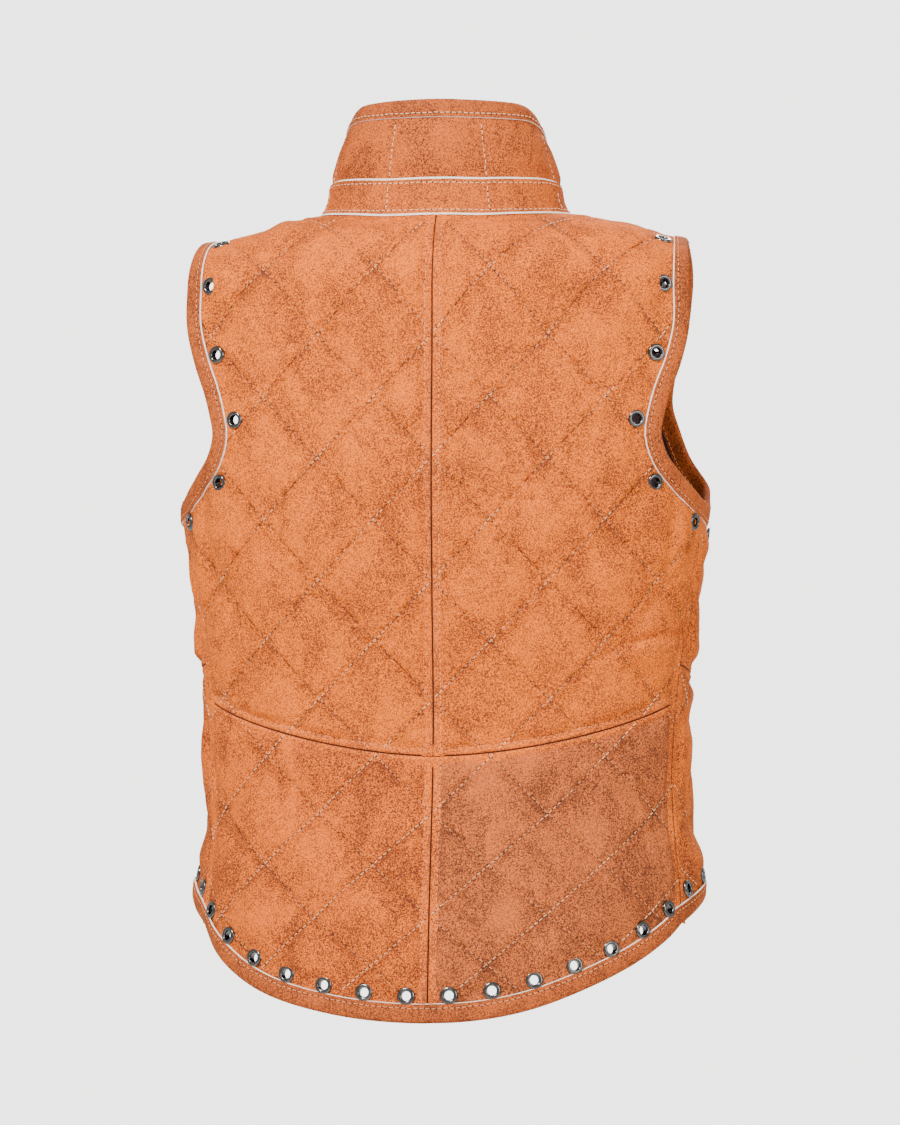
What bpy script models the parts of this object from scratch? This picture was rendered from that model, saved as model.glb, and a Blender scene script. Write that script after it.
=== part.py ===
"""Sleeveless quilted gambeson, standing open and hollow as it is worn.

The wearer faces +Y and +Z is up. The origin lies between the shoulders, just above the place where the
shoulder's ridge meets the neck. Lengths are in mm until an object is placed. Every piece of cloth is drawn
flat as a pattern, cut there, and then wrapped round the figure.
"""

import functools
import math

import bmesh
import bpy
import numpy as np
from mathutils import Matrix, Vector

OBJECT_NAME = "gambeson"
MM = 0.001

# Cloth and its trim
WALL = 3.0
QUILT_RISE = 3.8
COLLAR_RISE = 2.4
SEAM_HALF_GAP = 0.2
SEAT_GAP = 0.55
INNER_SEAT_GAP = 1.4
NECK_SEAT_GAP = 0.9
CORNER_GAP = 1.8
BAND_WALL = 4.0
BINDING_WIDTH = 12.0
BINDING_THICKNESS = 1.1
BINDING_FLARE = {"inside": 1.8, "outside": 0.7}

# The figure inside the cloth
FIGURE = (
    # height, half width, depth behind, depth before
    (-660, 199, 150, 126),
    (-600, 198, 143, 125),
    (-550, 195, 134, 124),
    (-500, 188, 120, 120),
    (-450, 186, 106, 116),
    (-400, 187, 99, 116),
    (-340, 191, 104, 122),
    (-280, 198, 111, 129),
    (-230, 205, 115, 130),
    (-170, 224, 114, 126),
    (-110, 236, 109, 116),
    (-50, 236, 109, 116),
)
RING_ROUNDNESS = 2.3
RING_STEPS = 160
RING_ANGLES = np.linspace(0.0, math.pi, RING_STEPS + 1)
SHOULDER_RING = -100.0

# The shoulders: the cloth arches from each side to a ridge above the line y = 0
RIDGE_AT_CENTRE = 16.5
RIDGE_SLOPE = 0.225
SHOULDER_HALF = 189.0
ARCH_RISE = {"back": (85.0, 38.0), "front": (200.0, 44.0)}

# Neck and collar
NECK_HALF = 93.0
NECK_DEPTH = {"back": 71.0, "front": 95.0}
COLLAR_TOP_HALF = 69.0
COLLAR_TOP_DEPTH = {"back": 65.0, "front": 84.0}
COLLAR_TOP_HEIGHT = 80.0
COLLAR_FRONT_DROP = 64.0
COLLAR_LEAN = (
    # share of the height, share of the way in
    (0.0, 0.0),
    (0.12, 0.17),
    (0.3, 0.26),
    (0.6, 0.48),
    (0.85, 0.76),
    (1.0, 1.0),
)
BAND_SHARE = 0.3
FOOT_REACH = 1.5
COLLAR_CHANNEL_TURN = 0.86
COLLAR_CORNER = 16.0
COLLAR_CORNER_TURN = 0.4
COLLAR_RADIUS = 85.0
COLLAR_HEIGHT = 83.0
COLLAR_STEP = 14.0
COLLAR_TOP_STEP = 15.0
COLLAR_ROWS = (14.0, 54.0, 69.0, 88.0)
COLLAR_FULL = {"from_top": (14.0, 30.0), "from_foot": (22.0, 40.0), "from_end": (14.0, 34.0)}
RIDGE_BLEND = 0.04
NECK_TURN_STEP = 0.02

# Edges and seams. Around is measured round the body from the centre back or the centre front.
FRONT_EDGE = 3.0
SIDE_SEAM = (
    # height, share of the back's quarter ring
    (-640, 0.75),
    (-559, 0.78),
    (-383, 0.845),
    (-219, 0.87),
)
BACK_WAIST = {"centre": -424.0, "side": -383.0, "power": 1.75}
FRONT_WAIST = {"centre": -388.0, "side": -355.0, "power": 2.0}
BACK_HEM = {"centre": -619.5, "side": -554.0, "power": 2.15}
FRONT_HEM = (
    # share of the way from the centre front to the side seam, height
    (0.0, -552),
    (0.3, -543),
    (0.6, -538),
    (0.85, -541),
    (1.0, -554),
)
ARMHOLE = {
    "back": (
        # around, height
        (197, -60),
        (197, -95),
        (190, -123),
        (181, -147),
        (177, -163),
        (175, -176),
        (181, -193),
        (198, -210),
        (215, -222),
    ),
    "front": (
        # around, height
        (195, -60),
        (189, -95),
        (180, -125),
        (178, -150),
        (186, -170),
        (200, -194),
        (217, -213),
        (243, -228),
        (275, -235),
    ),
}
ARMHOLE_AT_SEAM = -228.4
EDGE_STEP = 12.0
SEAM_STEP = 22.0
HEM_STEP = 30.0
HEM_TURN = 0.24
FRONT_STEP = 26.0
SPARE_CLOTH = 20.0
CUTTER_BELOW = 20.0
CUTTER_HEIGHT = 50.0
PROBE = 1.5
MERGE = 0.08

# Quilting: stitch lines cross in diamonds, and the pattern starts again from each middle line
QUILT_WIDTH = 88.0
QUILT_ROWS = (
    # row, height of its crossing on the middle line
    (8, -700),
    (7, -615),
    (6, -544),
    (5, -468),
    (4, -380),
    (3, -289),
    (2, -196),
    (1, -102),
    (0, 8),
    (-1, 108),
    (-2, 208),
)
QUILT_FLAT = {"edge": 29.0, "seam": 3.0}
QUILT_FULL = {"edge": 47.0, "seam": 18.0}
PLAIN_ROWS_ABOVE = -200.0
PLAIN_COLUMNS_BEYOND = 80.0

# Eyelets
EYELET_SIDES = 8
EYELET_HOLE = 3.3
EYELET_BARREL = 4.2
EYELET_FLANGE = 6.3
EYELET_CROWN = 1.1
EYELET_SEAT = 0.45
EYELET_BACK = 1.0
EYELET_CLEARANCE = 0.6
EYELET_FROM_EDGE = 20.0
HEM_EYELET_FROM_EDGE = 19.0
ARMHOLE_EYELETS = 13
ARMHOLE_EYELET_START = 31.0
HEM_EYELET_SPACING = 32.2
HEM_EYELETS_PER_SIDE = 7

# Colours, linear
SUEDE = (0.70, 0.245, 0.108)
BINDING_SUEDE = (0.66, 0.225, 0.10)
GUNMETAL = (0.045, 0.042, 0.045)


def smooth(rows, at, column=1):
    """Reads a table of rows as a smooth curve of its first column."""
    table = np.array(sorted(rows), dtype=float)
    knots = table[:, 0]
    values = table[:, column]
    slopes = np.gradient(values, knots)
    at = min(max(at, knots[0]), knots[-1])
    i = int(min(max(np.searchsorted(knots, at) - 1, 0), len(knots) - 2))
    step = knots[i + 1] - knots[i]
    t = (at - knots[i]) / step
    start = (1 + 2 * t) * (1 - t) ** 2 * values[i] + t * (1 - t) ** 2 * step * slopes[i]
    end = t * t * (3 - 2 * t) * values[i + 1] + t * t * (t - 1) * step * slopes[i + 1]
    return float(start + end)


def ease(at, start, end):
    """0 before start, 1 after end, and a soft step between."""
    t = min(max((at - start) / (end - start), 0.0), 1.0)
    return t * t * (3 - 2 * t)


def steps(start, end, spacing):
    """Even values from start to end, about spacing apart, both ends included."""
    count = max(1, round(abs(end - start) / spacing))
    return [start + (end - start) * i / count for i in range(count + 1)]


# The form that the cloth is wrapped round


@functools.lru_cache(maxsize=None)
def ring(height):
    """Half a ring of the figure, from centre back to centre front: across, depth and length along it."""
    half, behind, before = (smooth(FIGURE, height, column) for column in (1, 2, 3))
    power = 2.0 / RING_ROUNDNESS
    across = half * np.abs(np.sin(RING_ANGLES)) ** power
    reach = np.where(RING_ANGLES < math.pi / 2, -behind, before)
    depth = reach * np.abs(np.cos(RING_ANGLES)) ** power
    length = np.concatenate(([0.0], np.cumsum(np.hypot(np.diff(across), np.diff(depth)))))
    return across, depth, length


def quarter_ring(height):
    """Length from the centre back to the body's widest point, at a height."""
    return float(ring(height)[2][RING_STEPS // 2])


def half_ring(height):
    """Length from the centre back to the centre front, at a height."""
    return float(ring(height)[2][-1])


def ring_point(face, height, around):
    """Across and depth of a point on the ring at a height, around from the middle line of its face."""
    across, depth, length = ring(round(height, 4))
    at = around if face == "back" else length[-1] - around
    return float(np.interp(at, length, across)), float(np.interp(at, length, depth))


def around_at(face, across):
    """How far round the shoulder's ring a point at a distance from the centre plane is."""
    widths, _, length = ring(SHOULDER_RING)
    middle = RING_STEPS // 2
    if face == "back":
        return float(np.interp(across, widths[: middle + 1], length[: middle + 1]))
    return float(length[-1] - np.interp(-across, -widths[middle:], length[middle:]))


@functools.lru_cache(maxsize=None)
def arch(face, around):
    """The shoulder's arch at a place: the height where it starts, its rise, its depth and its length."""
    across, depth = ring_point(face, SHOULDER_RING, around)
    at_centre, at_tip = ARCH_RISE[face]
    rise = at_centre + (at_tip - at_centre) * min(across / SHOULDER_HALF, 1.0)
    ridge = RIDGE_AT_CENTRE - RIDGE_SLOPE * across
    depth = abs(depth)
    flatness = ((depth - rise) / (depth + rise)) ** 2
    oval = 1 + 3 * flatness / (10 + math.sqrt(4 - 3 * flatness))
    length = math.pi * (depth + rise) * oval / 4
    return ridge - rise, rise, depth, length


def along_at(face, around, height):
    """The pattern's own height of a point: its real height, or the length over the arch above that."""
    start, rise, _, length = arch(face, round(around, 4))
    if height <= start:
        return height
    return start + length * math.asin(min((height - start) / rise, 1.0)) / (math.pi / 2)


def inside(face, around, along):
    """A point on the inner surface of the cloth, on the right half."""
    start, rise, _, length = arch(face, round(around, 4))
    turn = max(0.0, (along - start) / length) * math.pi / 2
    height = along if turn == 0.0 else start + rise * math.sin(turn)
    across, depth = ring_point(face, height, around)
    return Vector((across, depth * math.cos(turn), height))


def outward(face, around, along):
    """The direction out of the cloth at a point of the right half."""
    sideways = inside(face, around + PROBE, along) - inside(face, around - PROBE, along)
    upwards = inside(face, around, along + PROBE) - inside(face, around, along - PROBE)
    normal = sideways.cross(upwards).normalized()
    return normal if face == "back" else -normal


def wrap_panel(face, around, along, out):
    """Takes a point of the flat pattern to its place on the right half of the figure."""
    return inside(face, around, along) + outward(face, around, along) * out


def wrap_quilted(face, around, along, out):
    """Wraps a point of a cut panel, its outer side quilted to full depth or pressed flat there."""
    outer = WALL + panel_rise(face, around, along)
    return wrap_panel(face, around, along, outer if out > WALL / 2 else 0.0)


# The lines that the pieces are cut on, in pattern places (around, along)


def side_seam(height):
    """Around of the side seam on the back."""
    return smooth(SIDE_SEAM, height) * quarter_ring(round(height, 3))


def seam_around(face, height):
    """Around of the side seam on either face."""
    back = side_seam(height)
    return back if face == "back" else half_ring(round(height, 3)) - back


def bowed(line, face, around):
    """Height of a waist or hem line that bows from its centre to the side seam."""
    share = around / seam_around(face, line["side"])
    return line["centre"] + (line["side"] - line["centre"]) * abs(share) ** line["power"]


def waist(face, around):
    return bowed(BACK_WAIST if face == "back" else FRONT_WAIST, face, around)


def hem(face, around):
    if face == "back":
        return bowed(BACK_HEM, face, around)
    return smooth(FRONT_HEM, around / seam_around(face, BACK_HEM["side"]))


def inner_edge(face):
    """Around of a panel's middle edge."""
    return 0.0 if face == "back" else FRONT_EDGE


def level_line(height_at, face, side_height, spacing):
    """A waist or hem line, from the middle edge to the side seam."""
    places = steps(inner_edge(face), seam_around(face, side_height), spacing)
    return [(around, height_at(face, around)) for around in places]


def hem_places(face, first):
    """Places along the hem from first to the side seam, closer together where the body turns quickly."""
    fine = np.linspace(first, seam_around(face, BACK_HEM["side"]), 80)
    points = np.array([ring_point(face, BACK_HEM["side"], around) for around in fine])
    runs = np.diff(points, axis=0)
    headings = np.unwrap(np.arctan2(runs[:, 1], runs[:, 0]))
    turns = np.abs(np.gradient(headings))
    share = np.concatenate(([0.0], np.cumsum(np.hypot(runs[:, 0], runs[:, 1]) / HEM_STEP + turns / HEM_TURN)))
    return [float(np.interp(at, share, fine)) for at in steps(0.0, share[-1], 1.0)]


def hem_line(face, first):
    return [(around, hem(face, around)) for around in hem_places(face, first)]


def seam_line(face, bottom, top):
    return [(seam_around(face, height), height) for height in steps(bottom, top, SEAM_STEP)]


def curve_through(points, spacing):
    """A smooth open curve through pattern points, with stations about spacing apart."""
    run = [0.0]
    for before, after in zip(points, points[1:]):
        run.append(run[-1] + math.dist(before, after))
    rows = [(at, point[0], point[1]) for at, point in zip(run, points)]
    return [(smooth(rows, at, 1), smooth(rows, at, 2)) for at in steps(0.0, run[-1], spacing)]


def armhole_line(face):
    """The armhole's edge on one face, from the side seam up to the shoulder's ridge."""
    tip_around = around_at(face, SHOULDER_HALF)
    start, _, _, length = arch(face, round(tip_around, 4))
    points = [(tip_around, start + length)]
    points += [(around, along_at(face, around, height)) for around, height in ARMHOLE[face]]
    points.append((seam_around(face, ARMHOLE_AT_SEAM), ARMHOLE_AT_SEAM))
    return curve_through(points[::-1], EDGE_STEP)


def neck_place(face, turn):
    """A point of the neckline, turn from the middle of that face to the shoulder's ridge."""
    across = NECK_HALF * math.sin(turn)
    around = around_at(face, across)
    start, _, depth, length = arch(face, round(around, 4))
    lean = math.acos(min(NECK_DEPTH[face] * math.cos(turn) / depth, 1.0))
    return around, start + length * lean / (math.pi / 2)


def neck_line(face):
    """The neckline on one face, from the shoulder's ridge to the middle edge."""
    turns = steps(math.pi / 2, math.asin(inner_edge(face) / NECK_HALF), EDGE_STEP / NECK_HALF)
    return [neck_place(face, turn) for turn in turns]


def ridge_line(face):
    """The shoulder's ridge on one face, from the armhole to the neck."""
    points = []
    for across in steps(SHOULDER_HALF, NECK_HALF, SEAM_STEP):
        around = around_at(face, across)
        start, _, _, length = arch(face, round(around, 4))
        points.append((around, start + length))
    return points


def middle_line(face, top, bottom):
    return [(inner_edge(face), top), (inner_edge(face), bottom)]


def past_middle(face, top, bottom):
    """The cut beyond a panel's middle edge, which is the straight edge of the cloth itself."""
    beyond = inner_edge(face) - SPARE_CLOTH
    return [(beyond, top), (beyond, bottom)]


def joined(*lines):
    """One closed outline from lines that meet end to end."""
    outline = []
    for line in lines:
        outline += [point for point in line if not outline or math.dist(point, outline[-1]) > 0.01]
    return outline[:-1] if math.dist(outline[0], outline[-1]) < 0.01 else outline


def upper_outline(face):
    side = FRONT_WAIST["side"] if face == "front" else BACK_WAIST["side"]
    bottom = level_line(waist, face, side, SEAM_STEP)
    neck = neck_line(face)
    return joined(
        bottom,
        seam_line(face, side, ARMHOLE_AT_SEAM),
        armhole_line(face),
        ridge_line(face),
        neck,
        past_middle(face, neck[-1][1], bottom[0][1]),
    )


def lower_outline(face):
    side = FRONT_WAIST["side"] if face == "front" else BACK_WAIST["side"]
    bottom = hem_line(face, inner_edge(face))
    top = level_line(waist, face, side, SEAM_STEP)
    return joined(
        bottom,
        seam_line(face, BACK_HEM["side"], side),
        top[::-1],
        past_middle(face, top[0][1], bottom[0][1]),
    )


def inset(outline, distance):
    """The outline moved inwards by a small distance."""
    moved = []
    count = len(outline)
    for i, point in enumerate(outline):
        before = Vector(outline[i - 1])
        after = Vector(outline[(i + 1) % count])
        into = (Vector(point) - before).normalized()
        out_of = (after - Vector(point)).normalized()
        normal = Vector((-into.y - out_of.y, into.x + out_of.x)).normalized()
        stretch = max(0.4, normal.dot(Vector((-into.y, into.x))))
        moved.append(Vector(point) + normal * distance / stretch)
    return moved


def distance_to(line, place):
    """Distance in the pattern from a place to a line."""
    nearest = math.inf
    place = Vector(place)
    for start, end in zip(line, line[1:]):
        start = Vector(start)
        run = Vector(end) - start
        share = min(max((place - start).dot(run) / run.length_squared, 0.0), 1.0)
        nearest = min(nearest, (start + run * share - place).length)
    return nearest


# Quilting


def quilt_row(along):
    rows = sorted((height, row) for row, height in QUILT_ROWS)
    return float(np.interp(along, [r[0] for r in rows], [r[1] for r in rows]))


def row_height(row):
    return float(np.interp(row, [r[0] for r in sorted(QUILT_ROWS)], [r[1] for r in sorted(QUILT_ROWS)]))


def diamond(around, along):
    """How full the quilting is: 0 on a stitch line and 1 in the middle of a diamond."""
    column = around / QUILT_WIDTH
    row = quilt_row(along)
    first = abs(math.sin(math.pi * (column + row)))
    second = abs(math.sin(math.pi * (column - row)))
    return math.sqrt(first * second)


@functools.lru_cache(maxsize=None)
def flat_lines(face):
    """The lines that press the quilting flat: bound edges, then seams."""
    neck = neck_line(face)
    side = FRONT_WAIST["side"] if face == "front" else BACK_WAIST["side"]
    edges = [armhole_line(face), neck, level_line(hem, face, BACK_HEM["side"], EDGE_STEP)]
    seams = [
        seam_line(face, BACK_HEM["side"], ARMHOLE_AT_SEAM),
        ridge_line(face),
        level_line(waist, face, side, SEAM_STEP),
    ]
    middle = middle_line(face, neck[-1][1], hem(face, inner_edge(face)))
    (edges if face == "front" else seams).append(middle)
    return edges, seams


def panel_rise(face, around, along):
    edges, seams = flat_lines(face)
    place = (around, along)
    from_edge = min(distance_to(line, place) for line in edges)
    from_seam = min(distance_to(line, place) for line in seams)
    fade = ease(from_edge, QUILT_FLAT["edge"], QUILT_FULL["edge"])
    fade *= ease(from_seam, QUILT_FLAT["seam"], QUILT_FULL["seam"])
    return QUILT_RISE * fade * diamond(around - inner_edge(face), along) if fade > 0.0 else 0.0


# Making meshes


def material(name, colour, roughness, metallic=0.0):
    made = bpy.data.materials.new(name)
    made.use_nodes = True
    shader = made.node_tree.nodes["Principled BSDF"]
    shader.inputs["Base Color"].default_value = (*colour, 1.0)
    shader.inputs["Roughness"].default_value = roughness
    shader.inputs["Metallic"].default_value = metallic
    made.diffuse_color = (*colour, 1.0)
    return made


def place_object(name, mesh, finish, parts, sharp=50.0):
    mesh.shade_smooth()
    mesh.set_sharp_from_angle(angle=math.radians(sharp))
    mesh.materials.clear()
    mesh.materials.append(finish)
    made = bpy.data.objects.new(name, mesh)
    parts.objects.link(made)
    return made


def flat_slab(columns, rows, height_at):
    """A sheet of cloth on the pattern table, plain below and quilted above, its diagonals on the stitches.

    The plain side has every other row and column where the figure bends little.
    """
    last = len(rows) - 1
    across = [i for i, at in enumerate(columns) if i % 2 == 0 or abs(at) > PLAIN_COLUMNS_BEYOND]
    plain = [j for j, row in enumerate(rows) if j in (0, last) or j % 2 == 0 or row > PLAIN_ROWS_ABOVE]
    points = []
    for layer in (0, 1):
        for along in rows:
            for around in columns:
                points.append((around * MM, along * MM, height_at(around, along) * MM * layer))
    width = len(columns)

    def corner(i, j, layer):
        return (layer * len(rows) + j) * width + i

    faces = []
    for layer, levels, places in ((0, plain, across), (1, range(len(rows)), range(width))):
        for step, (j, k) in enumerate(zip(levels, levels[1:])):
            for i, ahead in zip(places, places[1:]):
                a, b = corner(i, j, layer), corner(ahead, j, layer)
                c, d = corner(ahead, k, layer), corner(i, k, layer)
                halves = ((a, b, d), (b, c, d)) if (i + step) % 2 else ((a, b, c), (a, c, d))
                faces += [half if layer else half[::-1] for half in halves]
    for i, k in zip(across, across[1:]):
        front = [corner(at, 0, 1) for at in range(k, i - 1, -1)]
        faces.append((corner(i, 0, 0), corner(k, 0, 0), *front))
        far = [corner(at, last, 1) for at in range(i, k + 1)]
        faces.append((corner(k, last, 0), corner(i, last, 0), *far))
    for j, k in zip(plain, plain[1:]):
        right = [corner(width - 1, level, 1) for level in range(k, j - 1, -1)]
        faces.append((corner(width - 1, j, 0), corner(width - 1, k, 0), *right))
        left = [corner(0, level, 1) for level in range(j, k + 1)]
        faces.append((corner(0, k, 0), corner(0, j, 0), *left))
    made = bmesh.new()
    verts = [made.verts.new(point) for point in points]
    for face in faces:
        made.faces.new([verts[k] for k in face])
    bmesh.ops.delete(made, geom=[v for v in made.verts if not v.link_faces], context="VERTS")
    mesh = bpy.data.meshes.new("slab")
    made.to_mesh(mesh)
    made.free()
    return mesh


def outline_cutter(outline):
    """A tall prism on the pattern table, over one cut outline."""
    made = bmesh.new()
    face = made.faces.new([made.verts.new((p[0] * MM, p[1] * MM, -CUTTER_BELOW * MM)) for p in outline])
    grown = bmesh.ops.extrude_face_region(made, geom=[face])["geom"]
    raised = [item for item in grown if isinstance(item, bmesh.types.BMVert)]
    bmesh.ops.translate(made, vec=(0, 0, CUTTER_HEIGHT * MM), verts=raised)
    bmesh.ops.recalc_face_normals(made, faces=made.faces)
    mesh = bpy.data.meshes.new("outline")
    made.to_mesh(mesh)
    made.free()
    return mesh


def flat_from_worn(face, place):
    """How the pattern stretches at a place, so that what is cut as this oval there is worn as a circle."""
    centre = inside(face, *place)
    across = inside(face, place[0] + 1, place[1]) - centre
    up = inside(face, place[0], place[1] + 1) - centre
    side = across.normalized()
    rise = (up - side * up.dot(side)).normalized()
    worn = Matrix(((across.dot(side), up.dot(side)), (0.0, up.dot(rise))))
    return worn.inverted().to_4x4()


def hole_cutter(face, places):
    """Punches for the eyelets, standing on the pattern table."""
    made = bmesh.new()
    for around, along in places:
        stretch = flat_from_worn(face, (around, along))
        bmesh.ops.create_cone(
            made,
            cap_ends=True,
            segments=EYELET_SIDES,
            radius1=(EYELET_BARREL + EYELET_CLEARANCE) * MM,
            radius2=(EYELET_BARREL + EYELET_CLEARANCE) * MM,
            depth=CUTTER_HEIGHT * MM,
            matrix=Matrix.Translation((around * MM, along * MM, 0)) @ stretch,
        )
    mesh = bpy.data.meshes.new("punches")
    made.to_mesh(mesh)
    made.free()
    return mesh


def cut_flat(slab, outline, punches, cutters):
    """Cuts a slab to its outline, punches its holes and returns the flat piece in triangles."""
    sheet = bpy.data.objects.new("sheet", slab)
    cutters.objects.link(sheet)
    tools = [("INTERSECT", outline_cutter(outline))]
    if punches:
        tools.append(("DIFFERENCE", punches))
    made = [sheet]
    for operation, mesh in tools:
        tool = bpy.data.objects.new("cutter", mesh)
        cutters.objects.link(tool)
        boolean = sheet.modifiers.new(operation.lower(), "BOOLEAN")
        boolean.operation = operation
        boolean.object = tool
        made.append(tool)
    bpy.context.view_layer.update()
    evaluated = sheet.evaluated_get(bpy.context.evaluated_depsgraph_get())
    flat = bpy.data.meshes.new_from_object(evaluated)
    for item in made:
        bpy.data.objects.remove(item)
    work = bmesh.new()
    work.from_mesh(flat)
    bmesh.ops.remove_doubles(work, verts=work.verts, dist=MERGE * MM)
    bmesh.ops.dissolve_degenerate(work, edges=work.edges, dist=MERGE * MM / 4)
    bmesh.ops.triangulate(work, faces=work.faces)
    work.to_mesh(flat)
    work.free()
    return flat


def wrap_mesh(flat, name, place, mirrored=False):
    """Wraps a flat piece round the figure, and turns it over for the left half."""
    mesh = flat.copy()
    mesh.name = name
    for vertex in mesh.vertices:
        point = place(*(vertex.co / MM))
        if mirrored:
            point.x = -point.x
        vertex.co = point * MM
    work = bmesh.new()
    work.from_mesh(mesh)
    bmesh.ops.recalc_face_normals(work, faces=work.faces)
    work.to_mesh(mesh)
    work.free()
    return mesh


# Pieces


def panels(face, part, outline, holes, finish, parts, cutters):
    """The right and left copies of one quilted panel."""
    lowest = min(point[1] for point in outline)
    highest = max(point[1] for point in outline)
    widest = max(point[0] for point in outline)
    first = math.floor(4 * quilt_row(highest)) - 1
    last = math.ceil(4 * quilt_row(lowest)) + 1
    rows = [row_height(row / 4) for row in range(last, first - 1, -1)]
    start = inner_edge(face) + SEAM_HALF_GAP
    columns = [start + QUILT_WIDTH / 4 * i for i in range(math.ceil(widest / (QUILT_WIDTH / 4)) + 1)]
    slab = flat_slab(columns, rows, lambda u, v: WALL + panel_rise(face, u, v))
    punches = hole_cutter(face, holes) if holes else None
    flat = cut_flat(slab, inset(outline, SEAM_HALF_GAP), punches, cutters)
    for side in ("right", "left"):
        name = f"{face}_{part}_{side}"
        mesh = wrap_mesh(flat, name, functools.partial(wrap_quilted, face), side == "left")
        place_object(name, mesh, finish, parts)


def neck_frame(turn):
    """Where the collar stands: turn runs from the centre back (0) round to the centre front (pi)."""
    face = "back" if turn <= math.pi / 2 else "front"
    local = turn if face == "back" else math.pi - turn
    around, along = neck_place(face, local)
    base = wrap_panel(face, around, along, WALL + NECK_SEAT_GAP)
    down = wrap_panel(face, around, along - 1.0, WALL + NECK_SEAT_GAP) - base
    ahead = neck_place(face, min(local + NECK_TURN_STEP, math.pi / 2))
    behind = neck_place(face, max(local - NECK_TURN_STEP, 0.0))
    edge = inside(face, *ahead) - inside(face, *behind)
    edge.normalize()
    foot = (down - edge * down.dot(edge)).normalized()
    return base, foot


@functools.lru_cache(maxsize=None)
def neck_frame_at(turn):
    """The neck's frame, averaged across the shoulder's ridge, where its two faces meet."""
    if abs(turn - math.pi / 2) >= RIDGE_BLEND:
        return neck_frame(turn)
    share = (turn - math.pi / 2 + RIDGE_BLEND) / (2 * RIDGE_BLEND)
    base_a, foot_a = neck_frame(math.pi / 2 - RIDGE_BLEND)
    base_b, foot_b = neck_frame(math.pi / 2 + RIDGE_BLEND)
    return base_a.lerp(base_b, share), foot_a.lerp(foot_b, share).normalized()


def collar_top(turn):
    """The collar's top edge and the level direction out of it."""
    face = "back" if turn <= math.pi / 2 else "front"
    depth = COLLAR_TOP_DEPTH[face]
    drop = COLLAR_FRONT_DROP * ease(turn, 0.3 * math.pi, math.pi)
    point = Vector((COLLAR_TOP_HALF * math.sin(turn), -depth * math.cos(turn), COLLAR_TOP_HEIGHT - drop))
    out = Vector((math.sin(turn) / COLLAR_TOP_HALF, -math.cos(turn) / depth, 0.0)).normalized()
    return point, out


def wrap_collar(turn, share, out):
    """A point of the collar or neck band: turn round the neck, share of the height, and out of the wall."""
    mirrored = turn < 0
    turn = round(abs(turn), 5)
    base, foot = neck_frame_at(turn)
    top, radial = collar_top(turn)
    level = math.hypot(foot.x, foot.y)
    spread = min(1.0 / max(level, 0.01), FOOT_REACH)
    bottom = base + foot * (out * spread) if out >= 0 else base + radial * out
    above = top + radial * out
    lean = smooth(COLLAR_LEAN, share)
    point = Vector((
        bottom.x + (above.x - bottom.x) * lean,
        bottom.y + (above.y - bottom.y) * lean,
        bottom.z + (above.z - bottom.z) * share,
    ))
    if mirrored:
        point.x = -point.x
    return point


def collar_place(around, along, out):
    """Wraps a point of the collar's pattern, drawn in mm round the neck and up the centre back."""
    return wrap_collar(around / COLLAR_RADIUS, along / COLLAR_HEIGHT, out)


def collar_end(out=FRONT_EDGE):
    """Around of the collar's front end, out from the centre plane."""
    return (math.pi - math.asin(out / COLLAR_TOP_HALF)) * COLLAR_RADIUS


def collar_outline():
    """The collar's right half outline from its foot, up the front end, round the corner and along the top."""
    end = collar_end()
    corner = [
        (end - COLLAR_CORNER * (1 - math.cos(turn)), COLLAR_HEIGHT - COLLAR_CORNER * (1 - math.sin(turn)))
        for turn in steps(0.0, math.pi / 2, COLLAR_CORNER_TURN)
    ]
    foot = BAND_SHARE * COLLAR_HEIGHT
    rise = [(end, along) for along in steps(foot, COLLAR_HEIGHT - COLLAR_CORNER, SEAM_STEP)]
    top = [(around, COLLAR_HEIGHT) for around in steps(end - COLLAR_CORNER, 0.0, COLLAR_TOP_STEP)]
    return joined(rise, corner, top)


def collar_rise(around, along):
    """How full the collar is at a place: channels run up and down it, and its edges are pressed flat."""
    channel = COLLAR_CHANNEL_TURN * COLLAR_RADIUS
    fade = ease(COLLAR_HEIGHT - along, *COLLAR_FULL["from_top"])
    fade *= ease(along, *COLLAR_FULL["from_foot"])
    fade *= ease(collar_end() - abs(around), *COLLAR_FULL["from_end"])
    return COLLAR_RISE * fade * math.sqrt(abs(math.cos(math.pi * around / channel)))


def collar(finish, parts, cutters):
    half = collar_outline()
    left = [(-around, along) for around, along in half[::-1]]
    foot = [(around, BAND_SHARE * COLLAR_HEIGHT) for around in steps(left[-1][0], half[0][0], COLLAR_STEP)]
    quarter = COLLAR_CHANNEL_TURN * COLLAR_RADIUS / 4
    span = math.ceil(half[0][0] / quarter) + 1
    columns = [quarter * (i + 0.5) for i in range(-span, span)]
    slab = flat_slab(columns, COLLAR_ROWS, lambda u, v: WALL + collar_rise(u, v))
    outline = joined(foot, half, left)
    flat = cut_flat(slab, inset(outline, SEAM_HALF_GAP), None, cutters)

    def place(around, along, out):
        return collar_place(around, along, WALL + collar_rise(around, along) if out > WALL / 2 else 0.0)

    place_object("collar", wrap_mesh(flat, "collar", place), finish, parts)


def neck_band(finish, parts):
    """The band sits on the panels' outer side at its foot and carries the collar."""
    end = collar_end(FRONT_EDGE / 2)
    top = BAND_SHARE * COLLAR_HEIGHT - 2 * SEAM_HALF_GAP
    heights = (0.0, top / 2, top)
    corners = [(along, 0.0) for along in heights] + [(along, BAND_WALL) for along in heights[::-1]]
    sections = []
    for around in steps(-end, end, COLLAR_STEP):
        sections.append([collar_place(around, along, out) for along, out in corners])
    place_object("neck_band", loft("neck_band", sections, False), finish, parts)


# Bindings: a strip folded over an edge, lofted through frames of the edge


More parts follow.
